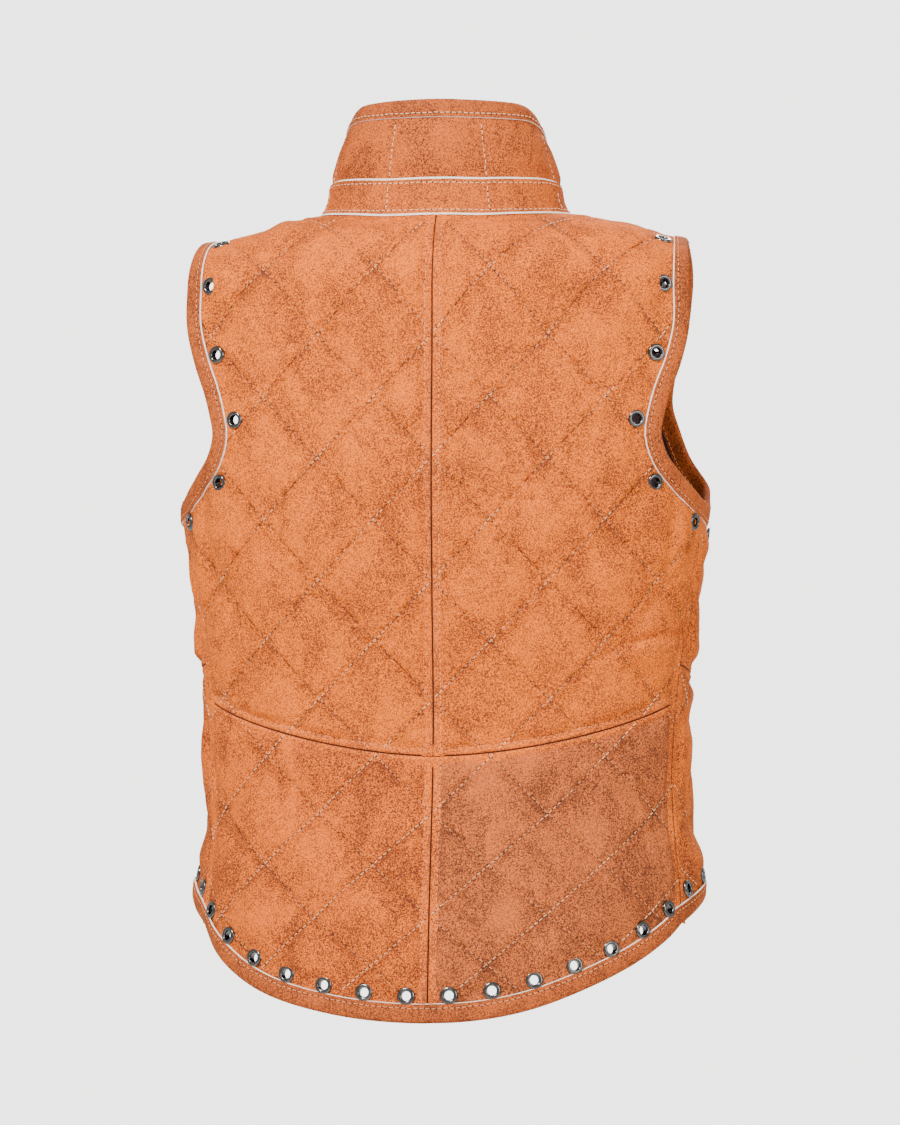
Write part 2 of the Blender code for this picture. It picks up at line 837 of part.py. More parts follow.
def binding_section(wall):
    """The strip's section, as (into the cloth, out of the cloth) from the cut edge's inner corner."""
    over = wall + SEAT_GAP
    beyond = -SEAT_GAP
    return (
        (BINDING_WIDTH, over + BINDING_FLARE["outside"]),
        (BINDING_WIDTH, over + BINDING_FLARE["outside"] + BINDING_THICKNESS),
        (beyond - BINDING_THICKNESS, over + BINDING_THICKNESS),
        (beyond - BINDING_THICKNESS, -INNER_SEAT_GAP - BINDING_THICKNESS),
        (BINDING_WIDTH, -INNER_SEAT_GAP - BINDING_THICKNESS - BINDING_FLARE["inside"]),
        (BINDING_WIDTH, -INNER_SEAT_GAP - BINDING_FLARE["inside"]),
        (beyond, -INNER_SEAT_GAP),
        (beyond, over),
    )


def loft(name, sections, closed):
    """A solid through matching sections, closed into a loop or capped at both ends."""
    made = bmesh.new()
    rings = [[made.verts.new(point * MM) for point in section] for section in sections]
    count = len(rings[0])
    last = len(rings) if closed else len(rings) - 1
    for i in range(last):
        here, ahead = rings[i], rings[(i + 1) % len(rings)]
        for j in range(count):
            k = (j + 1) % count
            made.faces.new((here[j], here[k], ahead[k], ahead[j]))
    if not closed:
        made.faces.new(rings[0])
        made.faces.new(rings[-1])
    made.normal_update()
    bmesh.ops.triangulate(made, faces=made.faces)
    bmesh.ops.recalc_face_normals(made, faces=made.faces)
    mesh = bpy.data.meshes.new(name)
    made.to_mesh(mesh)
    made.free()
    return mesh


def edge_frames(face, line, inwards):
    """Frames along a pattern line: the edge's place, the way into the cloth and the way out of it."""
    frames = []
    for i, point in enumerate(line):
        before = Vector(line[max(i - 1, 0)])
        after = Vector(line[min(i + 1, len(line) - 1)])
        run = (after - before).normalized()
        into = Vector((-run.y, run.x)) * inwards
        place = inside(face, *point)
        step = inside(face, point[0] + into.x, point[1] + into.y) - place
        frames.append((place, step.normalized(), outward(face, *point)))
    return frames


def flipped(frames):
    return [tuple(Vector((-v.x, v.y, v.z)) for v in frame) for frame in frames]


def bind(name, frames, closed, finish, parts):
    section = binding_section(WALL)
    sections = [[place + into * a + out * w for a, w in section] for place, into, out in frames]
    place_object(name, loft(name, sections, closed), finish, parts, sharp=40.0)


def armhole_frames():
    """The whole armhole edge, from the side seam up the back, over the shoulder and down the front."""
    back = edge_frames("back", armhole_line("back"), 1)
    front = edge_frames("front", armhole_line("front"), 1)[::-1]
    tip = tuple((a + b) / 2 for a, b in zip(back[-1], front[0]))
    foot = tuple((a + b) / 2 for a, b in zip(back[0], front[-1]))
    return [foot, *back[1:-1], tip, *front[1:-1]]


def hem_frames():
    """The right half of the hem, from the centre back to just short of the front binding."""
    back = edge_frames("back", hem_line("back", 0.0), 1)
    stop = FRONT_EDGE + BINDING_WIDTH + CORNER_GAP
    clear = stop + BINDING_WIDTH / 2
    places = [stop] + [around for around in hem_places("front", FRONT_EDGE) if around > clear]
    front = edge_frames("front", [(around, hem("front", around)) for around in places], 1)[::-1]
    seam = tuple((a + b) / 2 for a, b in zip(back[-1], front[0]))
    return [*back[:-1], seam, *front[1:]]


def front_frames():
    """The right centre front edge, from the hem to the neck band's foot."""
    top = neck_line("front")[-1][1] - BAND_WALL * FOOT_REACH - CORNER_GAP
    bottom = hem("front", FRONT_EDGE) - BINDING_THICKNESS
    line = [(FRONT_EDGE, along) for along in steps(bottom, top, FRONT_STEP)]
    return edge_frames("front", line, -1)


def collar_frames():
    """The collar's free edge on the right half, from the neck band up the front end to the centre back."""
    line = collar_outline()
    clear = BAND_SHARE * COLLAR_HEIGHT + CORNER_GAP
    line[0] = (line[0][0], clear)
    frames = []
    for i, point in enumerate(line):
        before = Vector(line[max(i - 1, 0)])
        after = Vector(line[min(i + 1, len(line) - 1)])
        run = (after - before).normalized()
        into = Vector((-run.y, run.x))
        place = collar_place(*point, 0.0)
        step = collar_place(point[0] + into.x, point[1] + into.y, 0.0) - place
        out = collar_place(*point, WALL) - place
        frames.append((place, step.normalized(), out / WALL))
    return frames


def bindings(finish, parts):
    armhole = armhole_frames()
    bind("armhole_binding_right", armhole, True, finish, parts)
    bind("armhole_binding_left", flipped(armhole), True, finish, parts)
    front = front_frames()
    bind("front_binding_right", front, False, finish, parts)
    bind("front_binding_left", flipped(front), False, finish, parts)
    half = hem_frames()
    bind("hem_binding", flipped(half[:0:-1]) + half, False, finish, parts)
    half = collar_frames()
    bind("collar_binding", half + flipped(half[-2::-1]), False, finish, parts)


# Eyelets


def offset_line(line, distance):
    """A pattern line moved sideways into its panel."""
    moved = []
    for i, point in enumerate(line):
        before = Vector(line[max(i - 1, 0)])
        after = Vector(line[min(i + 1, len(line) - 1)])
        run = (after - before).normalized()
        moved.append((point[0] - run.y * distance, point[1] + run.x * distance))
    return moved


def chain_links(runs):
    """The links of a chain of (face, line) runs: start distance, length on the figure, face and both ends."""
    links = []
    total = 0.0
    for face, line in runs:
        for start, end in zip(line, line[1:]):
            length = (inside(face, *end) - inside(face, *start)).length
            links.append((total, length, face, start, end))
            total += length
    return links


def chain_length(runs):
    return sum(link[1] for link in chain_links(runs))


def spaced_places(runs, distances):
    """Places at set distances along a chain of (face, line) runs."""
    chain = chain_links(runs)
    places = []
    for wanted in distances:
        at, length, face, start, end = next(link for link in reversed(chain) if link[0] <= wanted)
        share = (wanted - at) / length
        places.append((face, tuple(a + (b - a) * share for a, b in zip(start, end))))
    return places


def armhole_eyelets():
    back = offset_line(armhole_line("back"), EYELET_FROM_EDGE)[::-1]
    front = offset_line(armhole_line("front"), EYELET_FROM_EDGE)
    runs = [("back", back), ("front", front)]
    spacing = chain_length(runs) / ARMHOLE_EYELETS
    return spaced_places(runs, [ARMHOLE_EYELET_START + spacing * i for i in range(ARMHOLE_EYELETS)])


def hem_eyelets():
    back = offset_line(level_line(hem, "back", BACK_HEM["side"], EDGE_STEP), HEM_EYELET_FROM_EDGE)
    front = offset_line(level_line(hem, "front", BACK_HEM["side"], EDGE_STEP), HEM_EYELET_FROM_EDGE)[::-1]
    distances = [HEM_EYELET_SPACING * (i + 0.5) for i in range(HEM_EYELETS_PER_SIDE)]
    return spaced_places([("back", back), ("front", front)], distances)


def eyelet_mesh():
    """A flanged barrel: one profile turned about the hole."""
    over = WALL + EYELET_SEAT
    profile = (
        (EYELET_HOLE, -EYELET_BACK),
        (EYELET_HOLE, over + EYELET_CROWN),
        (EYELET_FLANGE, over),
        (EYELET_BARREL, over),
        (EYELET_BARREL, -EYELET_BACK),
    )
    mesh = bpy.data.meshes.new("eyelet_profile")
    count = len(profile)
    ring = [(i, (i + 1) % count) for i in range(count)]
    mesh.from_pydata([(r * MM, 0, w * MM) for r, w in profile], ring, [])
    turned = bpy.data.objects.new("eyelet_profile", mesh)
    bpy.context.scene.collection.objects.link(turned)
    screw = turned.modifiers.new("turn", "SCREW")
    screw.steps = EYELET_SIDES
    screw.render_steps = EYELET_SIDES
    screw.merge_threshold = 0.00001
    screw.use_merge_vertices = True
    bpy.context.view_layer.update()
    evaluated = turned.evaluated_get(bpy.context.evaluated_depsgraph_get())
    made = bpy.data.meshes.new_from_object(evaluated)
    bpy.data.objects.remove(turned)
    work = bmesh.new()
    work.from_mesh(made)
    bmesh.ops.recalc_face_normals(work, faces=work.faces)
    work.to_mesh(made)
    work.free()
    return made


def set_eyelet(name, mesh, face, place, mirrored, finish, parts):
    """Stands an eyelet square to the cloth at a pattern place."""
    point = inside(face, *place)
    out = outward(face, *place)
    side = (inside(face, place[0] + 1, place[1]) - point).normalized()
    if mirrored:
        point, out, side = (Vector((-v.x, v.y, v.z)) for v in (point, out, side))
    side = (side - out * side.dot(out)).normalized()
    made = place_object(name, mesh, finish, parts, sharp=30.0)
    turn = Matrix((side, out.cross(side), out)).transposed().to_4x4()
    made.matrix_world = Matrix.Translation(point * MM) @ turn
    return made


def eyelets(armhole, hemline, finish, parts):
    mesh = eyelet_mesh()
    for side, mirrored in (("right", False), ("left", True)):
        for i, (face, place) in enumerate(armhole, start=1):
            set_eyelet(f"armhole_eyelet_{side}_{i:02d}", mesh, face, place, mirrored, finish, parts)
        for i, (face, place) in enumerate(hemline, start=1):
            set_eyelet(f"hem_eyelet_{side}_{i:02d}", mesh, face, place, mirrored, finish, parts)


def new_collection(name):
    made = bpy.data.collections.new(name)
    bpy.context.scene.collection.children.link(made)
    return made


def main():
    for old in list(bpy.data.objects):
        bpy.data.objects.remove(old)
    parts = new_collection(OBJECT_NAME)
    cutters = new_collection("pattern_table")
    suede = material("quilted_suede", SUEDE, 0.95)
    trim = material("binding_suede", BINDING_SUEDE, 0.9)
    metal = material("gunmetal", GUNMETAL, 0.35, 1.0)
    armhole = armhole_eyelets()
    hemline = hem_eyelets()
    for face in ("back", "front"):
        round_arm = [place for at, place in armhole if at == face]
        round_hem = [place for at, place in hemline if at == face]
        panels(face, "upper", upper_outline(face), round_arm, suede, parts, cutters)
        panels(face, "lower", lower_outline(face), round_hem, suede, parts, cutters)
    collar(suede, parts, cutters)
    neck_band(trim, parts)
    bindings(trim, parts)
    eyelets(armhole, hemline, metal, parts)


main()
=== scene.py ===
"""Looks of the quilted suede gambeson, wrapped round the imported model's own surface.

The wearer faces +Y, +Z is up and the camera looks at the back. Lengths are in mm until a mesh is made.
Each panel is drawn flat as its pattern, cut there, and wrapped round the figure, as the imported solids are.
"""

import functools
import math
import random

import bmesh
import bpy
import numpy as np
from mathutils import Matrix, Vector


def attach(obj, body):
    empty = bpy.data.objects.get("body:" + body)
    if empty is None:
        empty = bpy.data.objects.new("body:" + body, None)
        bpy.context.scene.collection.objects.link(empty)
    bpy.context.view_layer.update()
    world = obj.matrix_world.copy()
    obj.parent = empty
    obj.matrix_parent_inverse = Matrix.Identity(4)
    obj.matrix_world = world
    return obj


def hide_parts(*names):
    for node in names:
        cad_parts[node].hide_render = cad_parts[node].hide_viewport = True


MM = 0.001
SIDES = {"right": 1.0, "left": -1.0}
FACES = ("back", "front")

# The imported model's form, the same values as its source has
WALL = 3.0
SEAM_HALF_GAP = 0.2
NECK_SEAT_GAP = 0.9
BINDING_WIDTH = 12.0
FIGURE = (
    # height, half width, depth behind, depth before
    (-660, 199, 150, 126),
    (-600, 198, 143, 125),
    (-550, 195, 134, 124),
    (-500, 188, 120, 120),
    (-450, 186, 106, 116),
    (-400, 187, 99, 116),
    (-340, 191, 104, 122),
    (-280, 198, 111, 129),
    (-230, 205, 115, 130),
    (-170, 224, 114, 126),
    (-110, 236, 109, 116),
    (-50, 236, 109, 116),
)
RING_ROUNDNESS = 2.3
RING_ANGLES = np.linspace(0.0, math.pi, 161)
RING_SHARES = np.linspace(0.0, 1.0, 801)
RING_STEP = 2.0
RING_HEIGHTS = np.arange(-720.0, -48.0, RING_STEP)
SHOULDER_RING = -100.0
ARC = np.linspace(0.0, 300.0, 3001)
RIDGE_AT_CENTRE = 16.5
RIDGE_SLOPE = 0.225
RIDGE_SOFTNESS = 12.0
SHOULDER_HALF = 189.0
ARCH_RISE = {"back": (85.0, 38.0), "front": (200.0, 44.0)}
NECK_HALF = 93.0
NECK_DEPTH = {"back": 71.0, "front": 95.0}
COLLAR_TOP_HALF = 69.0
COLLAR_TOP_DEPTH = {"back": 65.0, "front": 84.0}
COLLAR_TOP_HEIGHT = 80.0
COLLAR_FRONT_DROP = 64.0
COLLAR_DROP_START = 0.3 * math.pi
COLLAR_LEAN = (
    # share of the height, share of the way in
    (0.0, 0.0),
    (0.12, 0.17),
    (0.3, 0.26),
    (0.6, 0.48),
    (0.85, 0.76),
    (1.0, 1.0),
)
BAND_SHARE = 0.3
FOOT_REACH = 1.5
COLLAR_CORNER = 16.0
COLLAR_RADIUS = 85.0
COLLAR_CHANNEL = 0.86 * COLLAR_RADIUS
COLLAR_HEIGHT = 83.0
RIDGE_BLEND = 0.04
NECK_TURN_STEP = 0.02
NECK_SAMPLES = 721
FRONT_EDGE = 3.0
PROBE = 1.5
SIDE_SEAM = (
    # height, share of the back's quarter ring
    (-640, 0.75),
    (-559, 0.78),
    (-383, 0.845),
    (-219, 0.87),
)
WAIST = {
    "back": {"centre": -424.0, "side": -383.0, "power": 1.75},
    "front": {"centre": -388.0, "side": -355.0, "power": 2.0},
}
BACK_HEM = {"centre": -619.5, "side": -554.0, "power": 2.15}
FRONT_HEM = (
    # share of the way from the centre front to the side seam, height
    (0.0, -552),
    (0.3, -543),
    (0.6, -538),
    (0.85, -541),
    (1.0, -554),
)
ARMHOLE = {
    "back": (
        # around, height
        (197, -60),
        (197, -95),
        (190, -123),
        (181, -147),
        (177, -163),
        (175, -176),
        (181, -193),
        (198, -210),
        (215, -222),
    ),
    "front": (
        # around, height
        (195, -60),
        (189, -95),
        (180, -125),
        (178, -150),
        (186, -170),
        (200, -194),
        (217, -213),
        (243, -228),
        (275, -235),
    ),
}
ARMHOLE_AT_SEAM = -228.4
QUILT_WIDTH = 88.0
QUILT_ROWS = (
    # row, height of its crossing on the middle line
    (8, -700),
    (7, -615),
    (6, -544),
    (5, -468),
    (4, -380),
    (3, -289),
    (2, -196),
    (1, -102),
    (0, 8),
    (-1, 108),
    (-2, 208),
)
EYELET_FROM_EDGE = 20.0
HEM_EYELET_FROM_EDGE = 18.2
ARMHOLE_EYELETS = 13
ARMHOLE_EYELET_START = 31.0
HEM_EYELET_SPACING = 32.2
HEM_EYELETS_BEHIND = 7
HEM_EYELETS_BEFORE = 9

# How finely the looks are drawn
CELLS = 36
LINING_EVERY = 4
EYELET_SIDES = 28
EYELET_LINE_STEP = 12.0
EDGE_STEP = 5.0
QUILT_RISE = 5.2
QUILT_SHARPNESS = 0.5
HOLE_RADIUS = 4.4
HOLE_SIDES = 20
CUTTER_HALF = 20.0
SAME_PLACE = 0.01
MERGE = 0.02
SLAB_BEYOND = {"across": 6, "along": 4}

# Where the cloth's form starts and is full, as distances from the nearest bound edge and the nearest seam
QUILT_RAMP = {"edge": (14.0, 34.0), "seam": (4.0, 13.0)}
FLAT_RAMP = {"edge": (11.0, 26.0), "seam": (6.0, 14.0)}
UNEVEN_RAMP = {"edge": (12.0, 24.0), "seam": (8.0, 16.0)}
FLAT_PUFF = 0.5
SEAM_TUCK = 1.2
SEAM_TUCK_REACH = 1.6
LUMPS = (
    # reach, four wave numbers a mm, shift
    (0.45, 0.061, 0.023, 0.052, 0.017, 0.4),
    (0.35, 0.113, -0.047, 0.094, 0.071, 1.9),
    (0.22, 0.190, 0.121, 0.173, -0.102, 3.1),
)
PUCKER_RISE = 0.8
PUCKER_WAVES = 47.0
PUCKER_WANDER = (5.0, 9.0)
PUCKER_STRENGTH = (0.55, 0.45, 5.3)
PUCKER_SHIFT = (3.0, 7.0)
PUCKER_REACH = 0.11
PUCKER_LINE = 0.03
COLLAR_RAMP = {"top": (14, 30), "foot": (26, 38), "end": (14, 30)}
COLLAR_RISE = 2.0
COLLAR_SHARPNESS = 0.6
COLLAR_GROOVE = {"depth": 0.5, "reach": 1.2}
COLLAR_CELLS = {"step": 1.8, "rows": 34}
COLLAR_TUCK = 2.0

# Folds and dents: heights are real, around is from the middle line of that face
FOLD_BEND = 0.12
FOLDS = (
    # side, face, around, height, angle, half length, half width, rise
    ("left", "back", 186, -256, 82, 34, 6, -2.6),
    ("left", "back", 198, -262, 86, 30, 6, 2.2),
    ("left", "back", 166, -306, 84, 24, 3.2, -1.7),
    ("left", "back", 175, -312, 82, 22, 3.0, -1.6),
    ("left", "back", 185, -302, 88, 30, 3.4, -1.5),
    ("left", "back", 194, -332, 87, 34, 4.0, -1.6),
    ("left", "back", 158, -320, 78, 18, 3.0, -1.2),
    ("left", "back", 238, -246, 12, 40, 14, 3.0),
    ("left", "back", 240, -318, -6, 36, 9, -2.6),
    ("left", "back", 242, -345, 6, 36, 10, 1.8),
    ("left", "back", 244, -402, -4, 36, 12, -1.6),
    ("left", "back", 246, -448, 5, 36, 12, 1.4),
    ("left", "back", 248, -486, 4, 40, 14, -2.6),
    ("left", "back", 250, -535, 0, 40, 16, 1.4),
    ("right", "back", 240, -258, 4, 36, 12, 2.2),
    ("right", "back", 240, -300, -5, 36, 10, -1.4),
    ("right", "back", 242, -344, 5, 36, 10, 1.6),
    ("right", "back", 244, -396, 4, 36, 12, -1.6),
    ("left", "back", 60, -300, 50, 60, 20, 1.6),
    ("left", "back", 110, -180, -40, 55, 22, -1.5),
    ("left", "back", 120, -450, 30, 50, 16, -1.8),
    ("left", "back", 208, -592, 88, 42, 20, -7.5),
    ("left", "back", 262, -528, 90, 34, 14, 2.6),
    ("right", "back", 165, -333, 14, 34, 2.8, -3.2),
    ("right", "back", 205, -326, 16, 24, 2.6, -2.8),
    ("right", "back", 160, -345, 12, 42, 9, 2.6),
    ("right", "back", 186, -252, 84, 30, 5, -2.6),
    ("right", "back", 198, -258, 80, 34, 7, 1.8),
    ("right", "back", 150, -262, 20, 34, 9, -1.6),
    ("right", "back", 90, -150, 45, 60, 18, -1.4),
    ("right", "back", 45, -330, -35, 60, 20, 1.6),
    ("right", "back", 130, -470, 40, 55, 14, -2.0),
    ("right", "back", 196, -500, 78, 60, 14, 2.0),
    ("right", "back", 70, -560, 15, 45, 14, 1.5),
    ("left", "front", 120, -300, 25, 60, 8, -2.2),
    ("left", "front", 190, -330, 14, 46, 6, -2.4),
    ("left", "front", 230, -420, 60, 40, 10, 2.2),
    ("left", "front", 60, -200, -50, 60, 16, 1.8),
    ("left", "front", 250, -270, 70, 34, 8, -2.0),
    ("right", "front", 110, -320, 28, 56, 8, -2.0),
    ("right", "front", 200, -352, 10, 44, 6, -2.4),
    ("right", "front", 235, -440, 66, 42, 10, 2.0),
    ("right", "front", 70, -180, -46, 56, 16, 1.8),
    ("right", "front", 246, -262, 74, 32, 8, -2.2),
    ("right", "front", 150, -480, 20, 60, 12, -1.6),
    ("right", "back", 252, -522, 86, 30, 42, 9.0),
    ("left", "back", 204, -500, 84, 40, 30, -3.0),
    ("right", "back", 196, -262, 80, 36, 22, 3.6),
    ("left", "front", 214, -212, 0, 26, 26, 9.0),
    ("right", "front", 214, -212, 0, 26, 26, 8.0),
)

# Dents and swells across the shoulders' ridges, the same on both faces
SHOULDERS = (
    # side, distance from the centre plane, half width, rise
    ("left", 150, 32, -5.5),
    ("left", 122, 7, 2.2),
    ("left", 104, 7, 1.6),
    ("left", 136, 6, -1.0),
    ("left", 164, 8, 1.0),
    ("right", 150, 9, 1.1),
    ("right", 130, 8, -1.0),
    ("right", 108, 9, 1.4),
)
SHOULDER_REACH = 55.0

# The tail hangs lower on the left and higher on the right than its pattern does
SAG = (
    # side, distance round from the centre back, height, half width, half height, drop
    ("left", 150, -600, 70, 75, 6.5),
    ("right", 130, -600, 80, 60, -4.5),
    ("left", 20, -620, 110, 60, 1.5),
    ("right", 20, -620, 90, 60, 1.5),
)

# Seams are turned under: a rounded roll stands on each side of the groove
ROLL_PROFILE = (
    # distance from the seam, height over the wall's inner side
    (0.0, 1.2),
    (0.25, 2.4),
    (0.6, 3.0),
    (1.0, 3.45),
    (2.2, 3.85),
    (3.8, 3.75),
    (5.0, 3.3),
    (5.6, 3.12),
    (6.4, 3.45),
    (7.6, 3.3),
    (8.8, 2.5),
)

# Sewing
TOPSTITCH = 5.6
TOPSTITCH_SUNK = 0.42
TOPSTITCH_START = 0.7
STITCH = 3.8
STITCH_GAP = 0.8
STITCH_SHIFT = 1.2
THREAD_RADIUS = 0.38
THREAD_FORM = np.array(
    (
        # share of the stitch, rise over the cloth, share of the sway, share of the radius
        (0.0, -0.45, 0.2, 0.7),
        (0.16, 0.12, 0.8, 1.0),
        (0.5, 0.24, 1.0, 1.08),
        (0.84, 0.12, 0.8, 1.0),
        (1.0, -0.45, 0.2, 0.7),
    )
)
THREAD_SWAY = 0.16
THREAD_SINK = {"mean": 0.16, "slow": 0.2, "each": 0.09}
NEEDLE_HOLE = 0.5
NEEDLE_HOLE_RISE = 0.14
NEEDLE_HOLE_OVAL = 1.25
QUILT_LINE_STEP = 0.012
QUILT_LINE_PLAY = (0.02, 0.05)
SHORTEST_ROW = 4
TOPSTITCH_STEP = 1.5
CLEAR_OF_BINDING = 13.9
CLEAR_OF_SEAM = 0.2
CLEAR_OF_EYELET = 7.0
COLLAR_SEWING = {
    "step": 0.8,
    "from_band": 2.5,
    "from_top": 13.5,
    # the rows' height on the band and how far out they lie
    "band": {
        "from_end": 3.0,
        "step": 1.0,
        "upright": (3.5, 22.0),
        "out": 4.9,
        "rows": ((22.6, 4.45), (2.6, 4.75)),
    },
}

# Strips: how unevenly they lie, and how far an end or a row of stitches stays from what is next to it
WOBBLE_OCTAVES = (1.0, 2.3, 4.1)
WOBBLE_PEAK = 1.6
STRIP_WANDER = 0.45
ROLL_WANDER = 0.5
WANDER_OUT = {"share": 0.7, "waves": 0.17, "in_section": 0.6}
CORNER_GAP = 1.8
BAND_STEP = 3.0
BAND_WANDER = {"reach": 0.35, "waves": 0.13}
COLLAR_STRIP_STEP = 4.0
COLLAR_CORNER_STEP = 0.2
FRONT_STRIP_TOP = 8.0
FRONT_STRIP_FOOT = 1.1
STRIP_SEED = 40

# Angles in degrees over which an edge shades sharp
SHARP = {"panel": 60, "strip": 48, "collar": 50, "band": 45, "eyelet": 55}

# Colour of the deep specks in the suede's grain, also used for the painted shade along the quilting's stitch
# lines
DEEP_SPECK_AND_CREASE_SHADE = (0.085, 0.027, 0.014)
MIDDLE_TONE = 0.6


def smooth(rows, at, column=1):
    """Reads a table of rows as a smooth curve of its first column, for one value or many."""
    table = np.array(sorted(tuple(row) for row in rows), dtype=float)
    knots = table[:, 0]
    values = table[:, column]
    slopes = np.gradient(values, knots)
    at = np.clip(at, knots[0], knots[-1])
    i = np.clip(np.searchsorted(knots, at) - 1, 0, len(knots) - 2)
    step = knots[i + 1] - knots[i]
    t = (at - knots[i]) / step
    start = (1 + 2 * t) * (1 - t) ** 2 * values[i] + t * (1 - t) ** 2 * step * slopes[i]
    end = t * t * (3 - 2 * t) * values[i + 1] + t * t * (t - 1) * step * slopes[i + 1]
    return start + end


def ease(at, start, end):
    """0 before start, 1 after end, and a soft step between."""
    t = np.clip((np.asarray(at, dtype=float) - start) / (end - start), 0.0, 1.0)
    return t * t * (3 - 2 * t)


def steps(start, end, spacing):
    """Even values from start to end, about spacing apart, both ends included."""
    count = max(1, round(abs(end - start) / spacing))
    return np.linspace(start, end, count + 1)


# The form that the cloth is wrapped round


def ring_table():
    """Half rings of the figure at every height, as even shares of their length from the centre back."""
    half, behind, before = (smooth(FIGURE, RING_HEIGHTS, column)[:, None] for column in (1, 2, 3))
    power = 2.0 / RING_ROUNDNESS
    across = half * np.abs(np.sin(RING_ANGLES)) ** power
    reach = np.where(RING_ANGLES < math.pi / 2, -behind, before)
    depth = reach * np.abs(np.cos(RING_ANGLES)) ** power
    run = np.hypot(np.diff(across, axis=1), np.diff(depth, axis=1))
    length = np.hstack((np.zeros((len(run), 1)), np.cumsum(run, axis=1)))
    total = length[:, -1]
    even = [RING_SHARES * t for t in total]
    wide = np.array([np.interp(at, row, a) for at, row, a in zip(even, length, across)])
    deep = np.array([np.interp(at, row, d) for at, row, d in zip(even, length, depth)])
    return wide, deep, total, length[:, length.shape[1] // 2]


RING_WIDE, RING_DEEP, RING_TOTAL, RING_QUARTER = ring_table()


def at_level(values, height):
    return np.interp(height, RING_HEIGHTS, values)


def ring_point(face, height, around):
    """Across and depth of points on the rings, around from the middle line of their face."""
    level = np.clip((height - RING_HEIGHTS[0]) / RING_STEP, 0, len(RING_HEIGHTS) - 1.001)
    share = around / at_level(RING_TOTAL, height)
    share = share if face == "back" else 1.0 - share
    place = np.clip(share, 0.0, 1.0) * (len(RING_SHARES) - 1.001)
    i, j = level.astype(int), place.astype(int)
    u, v = level - i, place - j
    found = []
    for table in (RING_WIDE, RING_DEEP):
        low = table[i, j] * (1 - v) + table[i, j + 1] * v
        high = table[i + 1, j] * (1 - v) + table[i + 1, j + 1] * v
        found.append(low * (1 - u) + high * u)
    return found


def around_at(face, across):
    """How far round the shoulder's ring a point at a distance from the centre plane is."""
    widths = ring_point(face, np.full(len(ARC), SHOULDER_RING), ARC)[0]
    top = int(np.argmax(widths))
    return np.interp(across, widths[: top + 1], ARC[: top + 1])


def arch(face, around):
    """The shoulder's arch at places: the height where it starts, its rise, its depth and its length."""
    around = np.asarray(around, dtype=float)
    across, depth = ring_point(face, np.full(around.shape, SHOULDER_RING), around)
    at_centre, at_tip = ARCH_RISE[face]
    rise = at_centre + (at_tip - at_centre) * np.minimum(across / SHOULDER_HALF, 1.0)
    ridge = RIDGE_AT_CENTRE - RIDGE_SLOPE * np.hypot(across, RIDGE_SOFTNESS)
    depth = np.abs(depth)
    flatness = ((depth - rise) / (depth + rise)) ** 2
    oval = 1 + 3 * flatness / (10 + np.sqrt(4 - 3 * flatness))
    return ridge - rise, rise, depth, math.pi * (depth + rise) * oval / 4


def along_at(face, around, height):
    """The pattern's own height of places: the real height, or the length over the arch above that."""
    start, rise, _, length = arch(face, around)
    turn = np.arcsin(np.clip((np.asarray(height) - start) / rise, 0.0, 1.0))
    return np.where(height <= start, height, start + length * turn / (math.pi / 2))


def inside(face, around, along):
    """Points on the inner surface of the cloth, on the right half."""
    around, along = np.broadcast_arrays(np.asarray(around, dtype=float), np.asarray(along, dtype=float))
    start, rise, _, length = arch(face, around)
    turn = np.maximum(0.0, (along - start) / length) * math.pi / 2
    height = np.where(turn > 0.0, start + rise * np.sin(turn), along)
    across, depth = ring_point(face, height, around)
    return np.stack((across, depth * np.cos(turn), height), axis=-1)


def unit(vectors):
    return vectors / np.maximum(np.linalg.norm(vectors, axis=-1, keepdims=True), 1e-9)


def outward(face, around, along):
    """The direction out of the cloth."""
    centre = np.maximum(around, PROBE)
    sideways = inside(face, centre + PROBE, along) - inside(face, centre - PROBE, along)
    upwards = inside(face, around, along + PROBE) - inside(face, around, along - PROBE)
    normal = unit(np.cross(sideways, upwards))
    return normal if face == "back" else -normal


def fold_rise(side, face, around, along):
    """How far the listed folds push the cloth out, the same on both sides of the side seam."""
    rise = np.zeros(np.shape(around))
    whole = at_level(RING_TOTAL, along)
    round_body = around if face == "back" else whole - around
    for at_side, at_face, centre, height, angle, half_length, half_width, out in FOLDS:
        if at_side != side:
            continue
        if at_face == "front":
            centre, angle = at_level(RING_TOTAL, height) - centre, -angle
        if at_face != face and height > ARMHOLE_AT_SEAM:
            continue
        turn = math.radians(angle)
        u, v = round_body - centre, along - float(along_at(at_face, min(centre, ARC[-1]), height))
        lengthwise = (u * math.cos(turn) + v * math.sin(turn)) / half_length
        bend = FOLD_BEND * half_length * lengthwise**2
        widthwise = (-u * math.sin(turn) + v * math.cos(turn) + bend) / half_width
        rise = rise + out * np.exp(-(lengthwise**2) - widthwise**2)
    across = ring_point(face, np.full(np.shape(around), SHOULDER_RING), np.asarray(around, dtype=float))[0]
    below = (arch_end(face, around) - along) / SHOULDER_REACH
    for at_side, centre, half_width, out in SHOULDERS:
        if at_side == side:
            rise = rise + out * np.exp(-(((across - centre) / half_width) ** 2) - below**2)
    return rise


def drop(side, face, around, along):
    """How far the cloth hangs below its pattern."""
    round_body = around if face == "back" else at_level(RING_TOTAL, along) - around
    total = np.zeros(np.shape(around))
    for at_side, centre, height, half_width, half_height, fall in SAG:
        if at_side == side:
            reach = ((round_body - centre) / half_width) ** 2 + ((along - height) / half_height) ** 2
            total = total + fall * np.exp(-reach)
    return total


